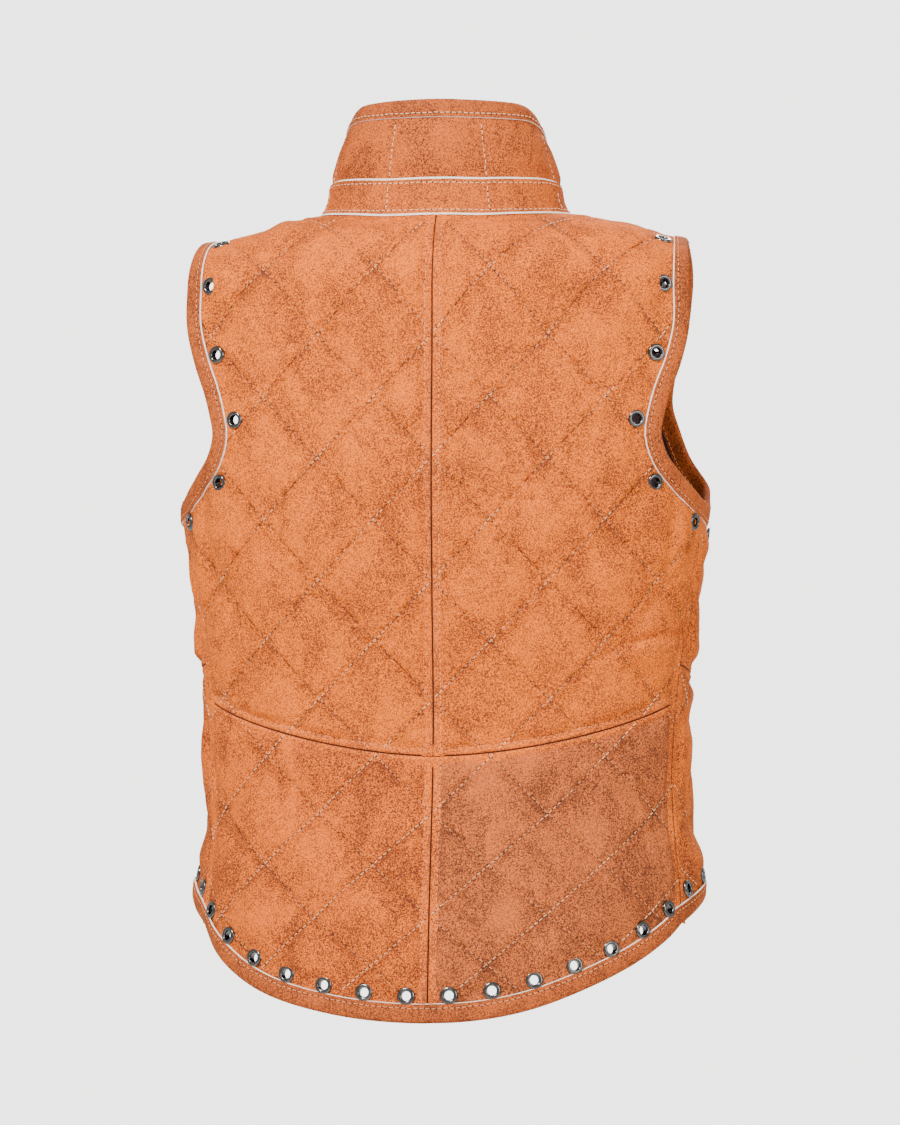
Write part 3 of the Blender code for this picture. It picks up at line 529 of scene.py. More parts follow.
def wrap(side, face, around, along, out):
    """Takes pattern places to the figure, out from the cloth's inner surface."""
    around, along = np.asarray(around, dtype=float), np.asarray(along, dtype=float)
    lift = np.asarray(out + fold_rise(side, face, around, along))
    points = inside(face, around, along) + outward(face, around, along) * lift[..., None]
    points[..., 0] *= SIDES[side]
    points[..., 2] -= drop(side, face, around, along)
    return points


def worn_outward(side, face, around, along):
    """The direction out of the cloth on either half."""
    out = outward(face, around, along)
    out[..., 0] *= SIDES[side]
    return out


# The lines that the pieces are cut on, in pattern places


def seam_around(face, height):
    back = smooth(SIDE_SEAM, height) * at_level(RING_QUARTER, height)
    return back if face == "back" else at_level(RING_TOTAL, height) - back


def bow(line, share):
    """Height of a curved seam or hem at shares of the way from the middle to the side."""
    return line["centre"] + (line["side"] - line["centre"]) * np.abs(share) ** line["power"]


def waist(face, around):
    return bow(WAIST[face], around / seam_around(face, WAIST[face]["side"]))


def hem(face, around):
    share = around / seam_around(face, BACK_HEM["side"])
    return bow(BACK_HEM, share) if face == "back" else smooth(FRONT_HEM, share)


def inner_edge(face):
    return 0.0 if face == "back" else FRONT_EDGE


def level_line(height_at, face, side_height, start=None, spacing=EDGE_STEP):
    """A line across one face, from its middle edge or a set start to the side seam."""
    first = inner_edge(face) if start is None else start
    around = steps(first, float(seam_around(face, side_height)), spacing)
    return np.column_stack((around, height_at(face, around)))


def waist_line(face):
    return level_line(waist, face, WAIST[face]["side"])


def hem_line(face, start=None, spacing=EDGE_STEP):
    return level_line(hem, face, BACK_HEM["side"], start, spacing)


def seam_line(face, bottom, top):
    heights = steps(bottom, top, EDGE_STEP)
    return np.column_stack((seam_around(face, heights), heights))


def curve_through(points, spacing):
    """A smooth open curve through pattern points."""
    points = np.array(points, dtype=float)
    run = np.concatenate(([0.0], np.cumsum(np.linalg.norm(np.diff(points, axis=0), axis=1))))
    at = steps(0.0, run[-1], spacing)
    return np.column_stack([smooth(np.column_stack((run, points[:, k])), at) for k in (0, 1)])


def arch_end(face, around):
    start, _, _, length = arch(face, around)
    return start + length


@functools.lru_cache(maxsize=None)
def armhole_line(face, spacing=EDGE_STEP):
    """The armhole's edge on one face, from the side seam up to the shoulder's ridge."""
    tip = around_at(face, SHOULDER_HALF)
    points = [(tip, arch_end(face, tip))]
    points += [(around, along_at(face, around, height)) for around, height in ARMHOLE[face]]
    points.append((seam_around(face, ARMHOLE_AT_SEAM), ARMHOLE_AT_SEAM))
    return curve_through(points[::-1], spacing)


def neck_place(face, turn):
    """Points of the neckline, turn from the middle of that face to the shoulder's ridge."""
    around = around_at(face, NECK_HALF * np.sin(turn))
    start, _, depth, length = arch(face, around)
    lean = np.arccos(np.clip(NECK_DEPTH[face] * np.cos(turn) / depth, -1.0, 1.0))
    return np.stack((around, start + length * lean / (math.pi / 2)), axis=-1)


def neck_line(face):
    """The neckline on one face, from the shoulder's ridge to the middle edge."""
    last = math.asin(inner_edge(face) / NECK_HALF)
    return neck_place(face, steps(math.pi / 2, last, EDGE_STEP / NECK_HALF))


def ridge_line(face):
    around = around_at(face, steps(SHOULDER_HALF, NECK_HALF, EDGE_STEP))
    return np.column_stack((around, arch_end(face, around)))


def middle_line(face, top, bottom):
    along = steps(top, bottom, EDGE_STEP)
    return np.column_stack((np.full(len(along), inner_edge(face)), along))


def joined(*lines):
    """One closed outline from lines that meet end to end."""
    outline = []
    for point in np.concatenate(lines):
        if not outline or math.dist(point, outline[-1]) > SAME_PLACE:
            outline.append(tuple(point))
    return np.array(outline[:-1] if math.dist(outline[0], outline[-1]) < SAME_PLACE else outline)


@functools.lru_cache(maxsize=None)
def panel_outline(face, part):
    """A panel's cut, anticlockwise from its lower middle corner."""
    side = WAIST[face]["side"]
    if part == "lower":
        bottom, top = hem_line(face), waist_line(face)
        seam = seam_line(face, BACK_HEM["side"], side)
        return joined(bottom, seam, top[::-1], middle_line(face, top[0][1], bottom[0][1]))
    bottom, neck = waist_line(face), neck_line(face)
    seam = seam_line(face, side, ARMHOLE_AT_SEAM)
    middle = middle_line(face, neck[-1][1], bottom[0][1])
    return joined(bottom, seam, armhole_line(face), ridge_line(face), neck, middle)


def leftwards(line):
    """The way to the left of a line at each of its points."""
    run = unit(np.gradient(line, axis=0))
    return np.column_stack((-run[:, 1], run[:, 0]))


def offset_line(line, distance):
    return line + leftwards(line) * distance


def inset(outline, distance):
    """The outline moved inwards by a small distance."""
    into = unit(outline - np.roll(outline, 1, axis=0))
    out_of = unit(np.roll(outline, -1, axis=0) - outline)
    normal = unit(np.column_stack((-into[:, 1] - out_of[:, 1], into[:, 0] + out_of[:, 0])))
    stretch = np.maximum(0.4, normal[:, 0] * -into[:, 1] + normal[:, 1] * into[:, 0])
    return outline + normal * (distance / stretch)[:, None]


def distance_to(line, around, along):
    """Distances in the pattern from places to a line."""
    nearest = np.full(np.shape(around), np.inf)
    for start, end in zip(line, line[1:]):
        run = end - start
        share = np.clip(((around - start[0]) * run[0] + (along - start[1]) * run[1]) / (run @ run), 0.0, 1.0)
        gap = np.hypot(start[0] + run[0] * share - around, start[1] + run[1] * share - along)
        nearest = np.minimum(nearest, gap)
    return nearest


def within(outline, around, along):
    """Whether places lie inside a closed outline."""
    found = np.zeros(np.shape(around), dtype=bool)
    for (x0, y0), (x1, y1) in zip(outline, np.roll(outline, -1, axis=0)):
        if y0 == y1:
            continue
        crossing = (y0 > along) != (y1 > along)
        found ^= crossing & (around < x0 + (along - y0) / (y1 - y0) * (x1 - x0))
    return found


# Quilting


QUILT_TABLE = np.array(sorted((height, row) for row, height in QUILT_ROWS), dtype=float)


def quilt_row(along):
    return np.interp(along, QUILT_TABLE[:, 0], QUILT_TABLE[:, 1])


def row_height(row):
    return np.interp(row, QUILT_TABLE[::-1, 1], QUILT_TABLE[::-1, 0])


def diamond(column, row):
    """How full the quilting is: 0 on a stitch line and 1 in the middle of a diamond."""
    both = np.abs(np.sin(math.pi * (column + row)) * np.sin(math.pi * (column - row)))
    return both**QUILT_SHARPNESS


@functools.lru_cache(maxsize=None)
def bound_lines(face):
    """The edges that bindings cover."""
    lines = [armhole_line(face), neck_line(face), hem_line(face)]
    if face == "front":
        lines.append(middle_line(face, lines[1][-1][1], float(hem(face, FRONT_EDGE))))
    return lines


@functools.lru_cache(maxsize=None)
def sewn_lines(face):
    """The seams, each with the name of its roll."""
    lines = {
        "side_seam": seam_line(face, BACK_HEM["side"], ARMHOLE_AT_SEAM),
        "shoulder_seam": ridge_line(face),
        "waist_seam": waist_line(face),
    }
    if face == "back":
        lines["centre_back_seam"] = middle_line(face, neck_line(face)[-1][1], float(hem(face, 0.0)))
    return lines


def margins(face, around, along):
    """Distances to the nearest bound edge and to the nearest seam."""
    groups = (bound_lines(face), sewn_lines(face).values())
    return [np.min([distance_to(line, around, along) for line in lines], axis=0) for lines in groups]


def panel_height(face, around, along):
    """The outer side of the padded cloth over its inner side."""
    edge, seam = margins(face, around, along)
    quilt, flat, uneven = (
        ease(edge, *ramp["edge"]) * ease(seam, *ramp["seam"]) for ramp in (QUILT_RAMP, FLAT_RAMP, UNEVEN_RAMP)
    )
    puff = diamond((around - inner_edge(face)) / QUILT_WIDTH, quilt_row(along))
    height = WALL + puff * (QUILT_RISE * quilt + FLAT_PUFF * flat * (1 - quilt))
    height = height - SEAM_TUCK * np.exp(-((seam / SEAM_TUCK_REACH) ** 2))
    return height + uneven * unevenness(face, around, along)


def unevenness(face, around, along):
    """Lumps in the padding and small puckers that run out from the stitch lines."""
    column, row = (around - inner_edge(face)) / QUILT_WIDTH, quilt_row(along)
    lumps = sum(
        reach * np.sin(around * a + along * b + shift) * np.sin(along * c - around * d + 2 * shift)
        for reach, a, b, c, d, shift in LUMPS
    )
    rising, falling = column + row, column - row
    mean, swing, slow = PUCKER_STRENGTH
    puckers = 0.0
    for line, beside in ((rising, falling), (falling, rising)):
        near = np.abs(line - np.round(line))
        shift, slow_shift = (share * np.round(line) for share in PUCKER_SHIFT)
        wander = PUCKER_WANDER[0] * np.sin(beside * PUCKER_WANDER[1] + line)
        wave = np.sin(beside * PUCKER_WAVES + wander + shift)
        strength = mean + swing * np.sin(beside * slow + slow_shift)
        fade = np.exp(-((near / PUCKER_REACH) ** 2)) * ease(near, 0.0, PUCKER_LINE)
        puckers = puckers + wave * strength * fade
    return lumps + PUCKER_RISE * puckers


def surface_height(face, around, along):
    """The outermost side of the cloth, seam rolls included."""
    height = panel_height(face, around, along)
    distances, rises = zip(*ROLL_PROFILE)
    for line in sewn_lines(face).values():
        height = np.maximum(height, np.interp(distance_to(line, around, along), distances, rises, right=0.0))
    return height


# Making meshes


def placed(name, data):
    made = bpy.data.objects.new(name, data)
    bpy.context.scene.collection.objects.link(made)
    return made


def new_object(name, mesh, materials, nodes=()):
    """A visible piece on the only body, in place of the model's nodes that are named."""
    made = placed(name, mesh)
    for finish in materials:
        mesh.materials.append(finish)
    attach(made, "root")
    if nodes:
        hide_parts(*nodes)
    return made


def slab_faces(columns, rows, quilt_steps):
    """The faces of a fine sheet on the pattern table, its diagonals along the stitch lines."""
    width, depth = len(columns), len(rows)
    coarse_across = sorted({*range(0, width, LINING_EVERY), width - 1})
    coarse_along = sorted({*range(0, depth, LINING_EVERY), depth - 1})

    def corner(i, j, layer):
        return (layer * depth + j) * width + i

    faces = []
    for j in range(depth - 1):
        for i in range(width - 1):
            a, b, c, d = corner(i, j, 1), corner(i + 1, j, 1), corner(i + 1, j + 1, 1), corner(i, j + 1, 1)
            rising = abs((i + quilt_steps[j] + CELLS / 2) % CELLS - CELLS / 2)
            falling = abs((i - quilt_steps[j] + 1 + CELLS / 2) % CELLS - CELLS / 2)
            faces += [(a, b, c), (a, c, d)] if rising < falling else [(a, b, d), (b, c, d)]
    for j, k in zip(coarse_along, coarse_along[1:]):
        for i, ahead in zip(coarse_across, coarse_across[1:]):
            faces.append((corner(i, j, 0), corner(i, k, 0), corner(ahead, k, 0), corner(ahead, j, 0)))
    for i, k in zip(coarse_across, coarse_across[1:]):
        faces.append((corner(i, 0, 0), corner(k, 0, 0), *(corner(at, 0, 1) for at in range(k, i - 1, -1))))
        far = (corner(at, depth - 1, 1) for at in range(i, k + 1))
        faces.append((corner(k, depth - 1, 0), corner(i, depth - 1, 0), *far))
    for j, k in zip(coarse_along, coarse_along[1:]):
        right = (corner(width - 1, level, 1) for level in range(k, j - 1, -1))
        faces.append((corner(width - 1, j, 0), corner(width - 1, k, 0), *right))
        faces.append((corner(0, k, 0), corner(0, j, 0), *(corner(0, level, 1) for level in range(j, k + 1))))
    return faces


def bmesh_from(points, faces):
    made = bmesh.new()
    verts = [made.verts.new(point) for point in points]
    for face in faces:
        made.faces.new([verts[k] for k in face])
    loose = [vert for vert in made.verts if not vert.link_faces]
    bmesh.ops.delete(made, geom=loose, context="VERTS")
    return made


def to_mesh(name, made):
    mesh = bpy.data.meshes.new(name)
    made.to_mesh(mesh)
    made.free()
    return mesh


def solid(name, points, faces, marks, angle):
    """A smooth closed mesh from points in mm and faces, with a material number for each face."""
    made = bmesh_from(np.asarray(points) * MM, faces)
    made.faces.ensure_lookup_table()
    for face, mark in zip(made.faces, marks):
        face.material_index = mark
        face.smooth = True
    bmesh.ops.recalc_face_normals(made, faces=made.faces)
    mesh = to_mesh(name, made)
    mesh.set_sharp_from_angle(angle=math.radians(angle))
    return mesh


def outline_prism(outline):
    made = bmesh.new()
    face = made.faces.new([made.verts.new((x * MM, y * MM, -CUTTER_HALF * MM)) for x, y in outline])
    grown = bmesh.ops.extrude_face_region(made, geom=[face])["geom"]
    raised = [item for item in grown if isinstance(item, bmesh.types.BMVert)]
    bmesh.ops.translate(made, vec=(0, 0, 2 * CUTTER_HALF * MM), verts=raised)
    bmesh.ops.recalc_face_normals(made, faces=made.faces)
    return to_mesh("outline", made)


def flat_from_worn(face, around, along):
    """How the pattern stretches at a place, so that what is cut as this oval is worn as a circle."""
    centre, beside, above = (
        Vector(inside(face, around + u, along + v)) for u, v in ((0.0, 0.0), (1.0, 0.0), (0.0, 1.0))
    )
    across, up = beside - centre, above - centre
    side = across.normalized()
    rise = (up - side * up.dot(side)).normalized()
    return Matrix(((across.dot(side), up.dot(side)), (0.0, up.dot(rise)))).inverted().to_4x4()


def punches(face, places):
    made = bmesh.new()
    for around, along in places:
        bmesh.ops.create_cone(
            made,
            cap_ends=True,
            segments=HOLE_SIDES,
            radius1=HOLE_RADIUS * MM,
            radius2=HOLE_RADIUS * MM,
            depth=2 * CUTTER_HALF * MM,
            matrix=Matrix.Translation((around * MM, along * MM, 0)) @ flat_from_worn(face, around, along),
        )
    return to_mesh("punches", made)


def cut_flat(slab, tools):
    """Cuts a slab with each tool in turn and gives the flat piece."""
    made = [placed("sheet", slab)]
    for operation, mesh in tools:
        tool = placed("tool", mesh)
        boolean = made[0].modifiers.new(operation, "BOOLEAN")
        boolean.operation = operation
        boolean.object = tool
        made.append(tool)
    bpy.context.view_layer.update()
    evaluated = made[0].evaluated_get(bpy.context.evaluated_depsgraph_get())
    flat = bpy.data.meshes.new_from_object(evaluated)
    for item in made:
        bpy.data.objects.remove(item)
    work = bmesh.new()
    work.from_mesh(flat)
    bmesh.ops.remove_doubles(work, verts=work.verts, dist=MERGE * MM)
    bmesh.ops.triangulate(work, faces=work.faces)
    work.to_mesh(flat)
    work.free()
    return flat


def dress(flat, name, points, uv, inner, materials, flip):
    """Makes one worn panel from its flat mesh: outer side first material, inner side second."""
    title = f"{name}_quilting"
    mesh = flat.copy()
    mesh.name = title
    mesh.vertices.foreach_set("co", (points * MM).astype(np.float32).ravel())
    if flip:
        mesh.flip_normals()
    corners = np.empty(len(mesh.loops), dtype=np.int32)
    mesh.loops.foreach_get("vertex_index", corners)
    mesh.uv_layers.new(name="quilt").data.foreach_set("uv", uv[corners].astype(np.float32).ravel())
    starts = np.empty(len(mesh.polygons), dtype=np.int32)
    mesh.polygons.foreach_get("loop_start", starts)
    mesh.polygons.foreach_set("material_index", np.minimum.reduceat(inner[corners].astype(np.int32), starts))
    mesh.update()
    mesh.shade_smooth()
    mesh.set_sharp_from_angle(angle=math.radians(SHARP["panel"]))
    return new_object(title, mesh, materials, (name,))


def panels(face, part, holes, materials):
    """The right and left copies of one quilted panel."""
    outline = panel_outline(face, part)
    span = (outline[:, 0].max() + SLAB_BEYOND["across"]) / QUILT_WIDTH * CELLS
    start = inner_edge(face) + SEAM_HALF_GAP
    columns = start + QUILT_WIDTH / CELLS * np.arange(math.ceil(span) + 1)
    low, high = outline[:, 1].min() - SLAB_BEYOND["along"], outline[:, 1].max() + SLAB_BEYOND["along"]
    first, last = math.floor(quilt_row(high) * CELLS), math.ceil(quilt_row(low) * CELLS)
    quilt_steps = np.arange(last, first - 1, -1)
    rows = row_height(quilt_steps / CELLS)
    around, along = np.meshgrid(columns, rows)
    around, along = around.ravel(), along.ravel()
    layers = [np.column_stack((around, along, np.full(around.size, out))) for out in (0.0, WALL)]
    slab = to_mesh("slab", bmesh_from(np.vstack(layers) * MM, slab_faces(columns, rows, quilt_steps)))
    cut = inset(outline, SEAM_HALF_GAP)
    cut[cut[:, 0] < start + 0.1, 0] -= CUTTER_HALF
    tools = [("INTERSECT", outline_prism(cut))]
    if holes:
        tools.append(("DIFFERENCE", punches(face, holes)))
    flat = cut_flat(slab, tools)
    places = np.empty(len(flat.vertices) * 3, dtype=np.float32)
    flat.vertices.foreach_get("co", places)
    around, along, level = places.reshape(-1, 3).astype(float).T / MM
    inner = level < WALL / 2
    out = np.where(inner, 0.0, panel_height(face, around, along))
    made = []
    for side in SIDES:
        column = (around - inner_edge(face)) / QUILT_WIDTH * SIDES[side]
        uv = np.column_stack((column, quilt_row(along)))
        points = wrap(side, face, around, along, out)
        flip = (side == "left") != (face == "front")
        made.append(dress(flat, f"{face}_{part}_{side}", points, uv, inner, materials, flip))
    return made


# Strips lofted through frames of an edge


def edge_frames(side, face, line, inwards=1):
    """Frames along a pattern line: the edge's places, the way into the cloth and the way out of it."""
    into = leftwards(line) * inwards
    place = wrap(side, face, *line.T, 0.0)
    ahead = wrap(side, face, *(line + into).T, 0.0)
    return np.stack((place, unit(ahead - place), worn_outward(side, face, *line.T)), axis=1)


def chained(*runs):
    """Runs of frames one after another, sharing the frame where two meet."""
    chain = list(runs[0])
    for run in runs[1:]:
        chain[-1] = (chain[-1] + run[0]) / 2
        chain += list(run[1:])
    return np.array(chain)


def wobble(count, seed, reach, waves=0.11):
    """A slow uneven wander along a strip, the same on each run."""
    source = random.Random(seed)
    at = np.arange(count)
    total = np.zeros(count)
    for octave in WOBBLE_OCTAVES:
        total += np.sin(at * waves * octave + source.uniform(0, 6.3)) / octave
    return total * reach / WOBBLE_PEAK


def strip_wander(count, seed, reach):
    """How far each station of a strip strays into the cloth and out of it."""
    out_reach = reach * WANDER_OUT["share"]
    return wobble(count, seed, reach), wobble(count, seed + 7, out_reach, WANDER_OUT["waves"])


def lofted(name, points, marks, closed, angle):
    """A solid through equal sections of points, with a material number for each strip between them."""
    count = len(marks)
    stations = len(points) // count
    faces = []
    for i in range(stations if closed else stations - 1):
        here, ahead = i * count, (i + 1) % stations * count
        for j in range(count):
            k = (j + 1) % count
            faces.append((here + j, here + k, ahead + k, ahead + j))
    all_marks = list(marks) * (len(faces) // count) + [0, 0]
    if not closed:
        faces += [tuple(range(count))[::-1], tuple(range((stations - 1) * count, stations * count))]
    return solid(name, points, faces, all_marks, angle)


def loft(name, frames, section, closed, seed, wander):
    """A strip through one section: rows of (into, out, wander share, pale) round it."""
    into, out = strip_wander(len(frames), seed, wander)
    if not closed:
        order = np.arange(len(frames))
        fade = np.minimum(np.minimum(order, order[::-1]) / 4, 1.0)
        into, out = into * fade, out * fade
    d, w, share = np.array([row[:3] for row in section]).T
    deep = d + into[:, None] * share
    high = w + out[:, None] * share * WANDER_OUT["in_section"]
    place, inwards, outwards = (frames[:, None, k] for k in range(3))
    points = place + inwards * deep[..., None] + outwards * high[..., None]
    return lofted(name, points.reshape(-1, 3), [row[3] for row in section], closed, SHARP["strip"])


BINDING_SECTION = (
    # into the cloth, out from its inner side, share of the wander, whether a raw cut edge starts here
    (12.9, 3.1, 1.0, 1),
    (12.35, 4.25, 1.0, 0),
    (11.0, 4.7, 0.9, 0),
    (9.2, 4.25, 0.7, 0),
    (8.0, 4.8, 0.6, 0),
    (4.0, 5.1, 0.6, 0),
    (0.6, 4.9, 0.8, 0),
    (-1.2, 4.1, 1.0, 0),
    (-2.0, 2.4, 1.0, 0),
    (-2.0, 0.8, 1.0, 0),
    (-1.2, -1.0, 1.0, 0),
    (0.6, -1.7, 0.8, 0),
    (5.0, -1.9, 0.6, 0),
    (9.3, -1.3, 0.7, 0),
    (11.2, -1.8, 1.0, 1),
    (12.0, -0.4, 1.0, 0),
    (9.3, -0.3, 0.5, 0),
    (0.0, -0.3, 0.3, 0),
    (-0.7, 0.6, 0.3, 0),
    (-0.7, 2.4, 0.3, 0),
    (0.0, 3.4, 0.3, 0),
    (11.5, 3.1, 0.7, 0),
)
BINDING_ROWS = (
    # into the cloth, out from its inner side, share of the wander of a row of stitches
    (9.2, 4.5, 0.7),
    (9.3, -1.5, 0.6),
)


def armhole_frames(side):
    """The whole armhole edge, from the side seam up the back, over the shoulder and down the front."""
    back = edge_frames(side, "back", armhole_line("back"))
    front = edge_frames(side, "front", armhole_line("front"))[::-1]
    chain = chained(back, front)
    chain[0] = (chain[0] + chain[-1]) / 2
    return chain[:-1]


def hem_frames():
    """The hem from the left front binding round the back to the right front binding."""
    front_line = hem_line("front", FRONT_EDGE + BINDING_WIDTH + CORNER_GAP)
    halves = []
    for side in ("left", "right"):
        back = edge_frames(side, "back", hem_line("back"))
        halves.append(chained(back, edge_frames(side, "front", front_line)[::-1]))
    return chained(halves[0][::-1], halves[1])


def front_frames(side):
    """One centre front edge, from the hem to the neck band's foot."""
    top = neck_line("front")[-1][1] - FRONT_STRIP_TOP
    foot = float(hem("front", FRONT_EDGE)) - FRONT_STRIP_FOOT
    return edge_frames(side, "front", middle_line("front", foot, top), -1)


# Neck band and collar


def neck_frames():
    """Where the collar stands, for turns from the centre back (0) to the centre front (pi)."""
    turns = np.linspace(0.0, math.pi, NECK_SAMPLES)
    base, foot = np.zeros((NECK_SAMPLES, 3)), np.zeros((NECK_SAMPLES, 3))
    seat = WALL + NECK_SEAT_GAP
    for face, chosen in (("back", turns <= math.pi / 2), ("front", turns > math.pi / 2)):
        local = turns[chosen] if face == "back" else math.pi - turns[chosen]
        around, along = neck_place(face, local).T
        base[chosen] = inside(face, around, along) + outward(face, around, along) * seat
        down = inside(face, around, along - 1) + outward(face, around, along - 1) * seat - base[chosen]
        ahead = neck_place(face, np.minimum(local + NECK_TURN_STEP, math.pi / 2))
        behind = neck_place(face, np.maximum(local - NECK_TURN_STEP, 0.0))
        edge = unit(inside(face, *ahead.T) - inside(face, *behind.T))
        foot[chosen] = unit(down - edge * np.sum(down * edge, axis=1, keepdims=True))
    keep = np.abs(turns - math.pi / 2) >= RIDGE_BLEND
    for table in (base, foot):
        for k in range(3):
            table[:, k] = np.interp(turns, turns[keep], table[keep, k])
    return turns, base, unit(foot)


NECK_TURNS, NECK_BASE, NECK_FOOT = neck_frames()


def collar_place(around, along, out):
    """Wraps places of the collar's pattern, drawn in mm round the neck and up the centre back."""
    around, along, out = np.broadcast_arrays(*(np.asarray(v, dtype=float) for v in (around, along, out)))
    turn, share = np.abs(around) / COLLAR_RADIUS, along / COLLAR_HEIGHT
    base = np.stack([np.interp(turn, NECK_TURNS, NECK_BASE[:, k]) for k in range(3)], axis=-1)
    foot = np.stack([np.interp(turn, NECK_TURNS, NECK_FOOT[:, k]) for k in range(3)], axis=-1)
    depth = np.where(turn <= math.pi / 2, COLLAR_TOP_DEPTH["back"], COLLAR_TOP_DEPTH["front"])
    drop = COLLAR_FRONT_DROP * ease(turn, COLLAR_DROP_START, math.pi)
    top = np.stack((COLLAR_TOP_HALF * np.sin(turn), -depth * np.cos(turn), COLLAR_TOP_HEIGHT - drop), axis=-1)
    radial = unit(np.stack((np.sin(turn) / COLLAR_TOP_HALF, -np.cos(turn) / depth, 0 * turn), axis=-1))
    spread = np.minimum(1.0 / np.maximum(np.hypot(foot[..., 0], foot[..., 1]), 0.01), FOOT_REACH)
    seated = np.where((out >= 0)[..., None], foot * (out * spread)[..., None], radial * out[..., None])
    lower = base + seated
    upper = top + radial * out[..., None]
    lean = smooth(COLLAR_LEAN, share)[..., None]
    point = lower + (upper - lower) * lean
    point[..., 2] = lower[..., 2] + (upper[..., 2] - lower[..., 2]) * share
    point[..., 0] *= np.where(around < 0, -1.0, 1.0)
    return point


def collar_end(gap=FRONT_EDGE):
    """How far round its pattern the collar reaches, for a gap before the centre plane."""
    return (math.pi - math.asin(gap / COLLAR_TOP_HALF)) * COLLAR_RADIUS


def collar_edge_height(around):
    """Height of the collar's free edge, rounded down at the front ends."""
    left = np.clip(COLLAR_CORNER - (collar_end() - np.abs(around)), 0.0, COLLAR_CORNER)
    return COLLAR_HEIGHT - COLLAR_CORNER + np.sqrt(COLLAR_CORNER**2 - left**2)


def collar_height_at(around, along):
    """The collar's outer side: flat at its edges and sewn down along upright channels."""
    fade = ease(collar_edge_height(around) - along, *COLLAR_RAMP["top"]) * ease(along, *COLLAR_RAMP["foot"])
    fade = fade * ease(collar_end() - np.abs(around), *COLLAR_RAMP["end"])
    puff = COLLAR_RISE * np.abs(np.cos(math.pi * around / COLLAR_CHANNEL)) ** COLLAR_SHARPNESS
    uneven = 0.5 * np.sin(around * 0.09 + 1.3) * np.sin(along * 0.13 + around * 0.02)
    from_line = np.abs((np.abs(around) / COLLAR_CHANNEL) % 1.0 - 0.5) * COLLAR_CHANNEL
    groove = COLLAR_GROOVE["depth"] * np.exp(-((from_line / COLLAR_GROOVE["reach"]) ** 2))
    return WALL + fade * (puff + uneven - groove)


def collar(materials):
    """The quilted collar: a closed shell of outer points and the inner ones behind them."""
    around = steps(-collar_end(), collar_end(), COLLAR_CELLS["step"])
    foot = BAND_SHARE * COLLAR_HEIGHT - COLLAR_TUCK
    columns, shares = np.meshgrid(around, steps(0.0, 1.0, 1 / COLLAR_CELLS["rows"]))
    rows = foot + (collar_edge_height(columns) - foot) * shares
    layers = [collar_place(columns, rows, out) for out in (collar_height_at(columns, rows), 0.0)]
    height, width = columns.shape
    size = height * width
    faces, lining = [], []
    for j in range(height - 1):
        for i in range(width - 1):
            a = j * width + i
            quad = (a, a + 1, a + width + 1, a + width)
            faces += [quad, tuple(size + v for v in quad[::-1])]
            lining += [0, 1]
    rim = list(range(width)) + [(j + 1) * width - 1 for j in range(1, height)]
    rim += [size - 1 - i for i in range(1, width)] + [(height - 1 - j) * width for j in range(1, height - 1)]
    for a, b in zip(rim, rim[1:] + rim[:1]):
        faces.append((b, a, size + a, size + b))
        lining.append(0)
    mesh = solid("collar_quilting", np.concatenate(layers).reshape(-1, 3), faces, lining, SHARP["collar"])
    return new_object("collar_quilting", mesh, materials, ("collar",))


BAND_SECTION = (
    # along, out, share of the wander, whether a raw cut edge starts here
    (24.5, 0.2, 0.0, 0),
    (24.5, 2.9, 0.0, 0),
    (26.2, 3.2, 1.0, 1),
    (25.3, 4.7, 1.0, 0),
    (22.6, 4.45, 0.6, 0),
    (20.0, 4.8, 0.5, 0),
    (12.0, 4.9, 0.5, 0),
    (5.0, 4.9, 0.5, 0),
    (2.6, 4.75, 0.7, 0),
    (0.6, 5.6, 1.0, 1),
    (-0.5, 6.3, 1.0, 0),
    (-0.7, 3.0, 0.0, 0),
    (0.0, 0.2, 0.0, 0),
)


def neck_band(materials):
    """The plain strip between the collar and the neckline."""
    end = collar_end(FRONT_EDGE / 2)
    around = steps(-end, end, BAND_STEP)
    along, out, share = np.array([row[:3] for row in BAND_SECTION]).T
    shift = wobble(len(around), 31, BAND_WANDER["reach"], BAND_WANDER["waves"])
    points = collar_place(around[:, None], along + shift[:, None] * share, out)
    marks = [row[3] for row in BAND_SECTION]
    mesh = lofted("neck_band_strip", points.reshape(-1, 3), marks, False, SHARP["band"])
    return new_object("neck_band_strip", mesh, materials, ("neck_band",))


def collar_frames():
    """The collar's free edge, from one neck band end over the top to the other."""
    end, shoulder = collar_end(), COLLAR_HEIGHT - COLLAR_CORNER
    rise = steps(BAND_SHARE * COLLAR_HEIGHT + CORNER_GAP, shoulder, COLLAR_STRIP_STEP)
    turn = steps(0.0, math.pi / 2, COLLAR_CORNER_STEP)[1:]
    bend = COLLAR_CORNER * np.column_stack((np.cos(turn) - 1, np.sin(turn)))
    top = steps(end - COLLAR_CORNER, 0.0, COLLAR_STRIP_STEP)[1:]
    half = np.concatenate(
        (
            np.column_stack((np.full(len(rise), end), rise)),
            bend + (end, shoulder),
            np.column_stack((top, np.full(len(top), COLLAR_HEIGHT))),
        )
    )
    line = np.concatenate((half, half[-2::-1] * (-1, 1)))
    place = collar_place(*line.T, 0.0)
    ahead = collar_place(*(line + leftwards(line)).T, 0.0)
    out = (collar_place(*line.T, WALL) - place) / WALL
    return np.stack((place, unit(ahead - place), out), axis=1)


# Seam rolls


ROLL_SECTION = (
    # into the cloth, out from its inner side, share of the wander, whether the painted groove shade starts
    # here
    *((d, w, 0.25 if 1.5 < d < 7 else 0.0, int(d < 0.5)) for d, w in ROLL_PROFILE),
    (7.8, 2.2, 0.0, 0),
    (0.0, 0.7, 0.0, 1),
)


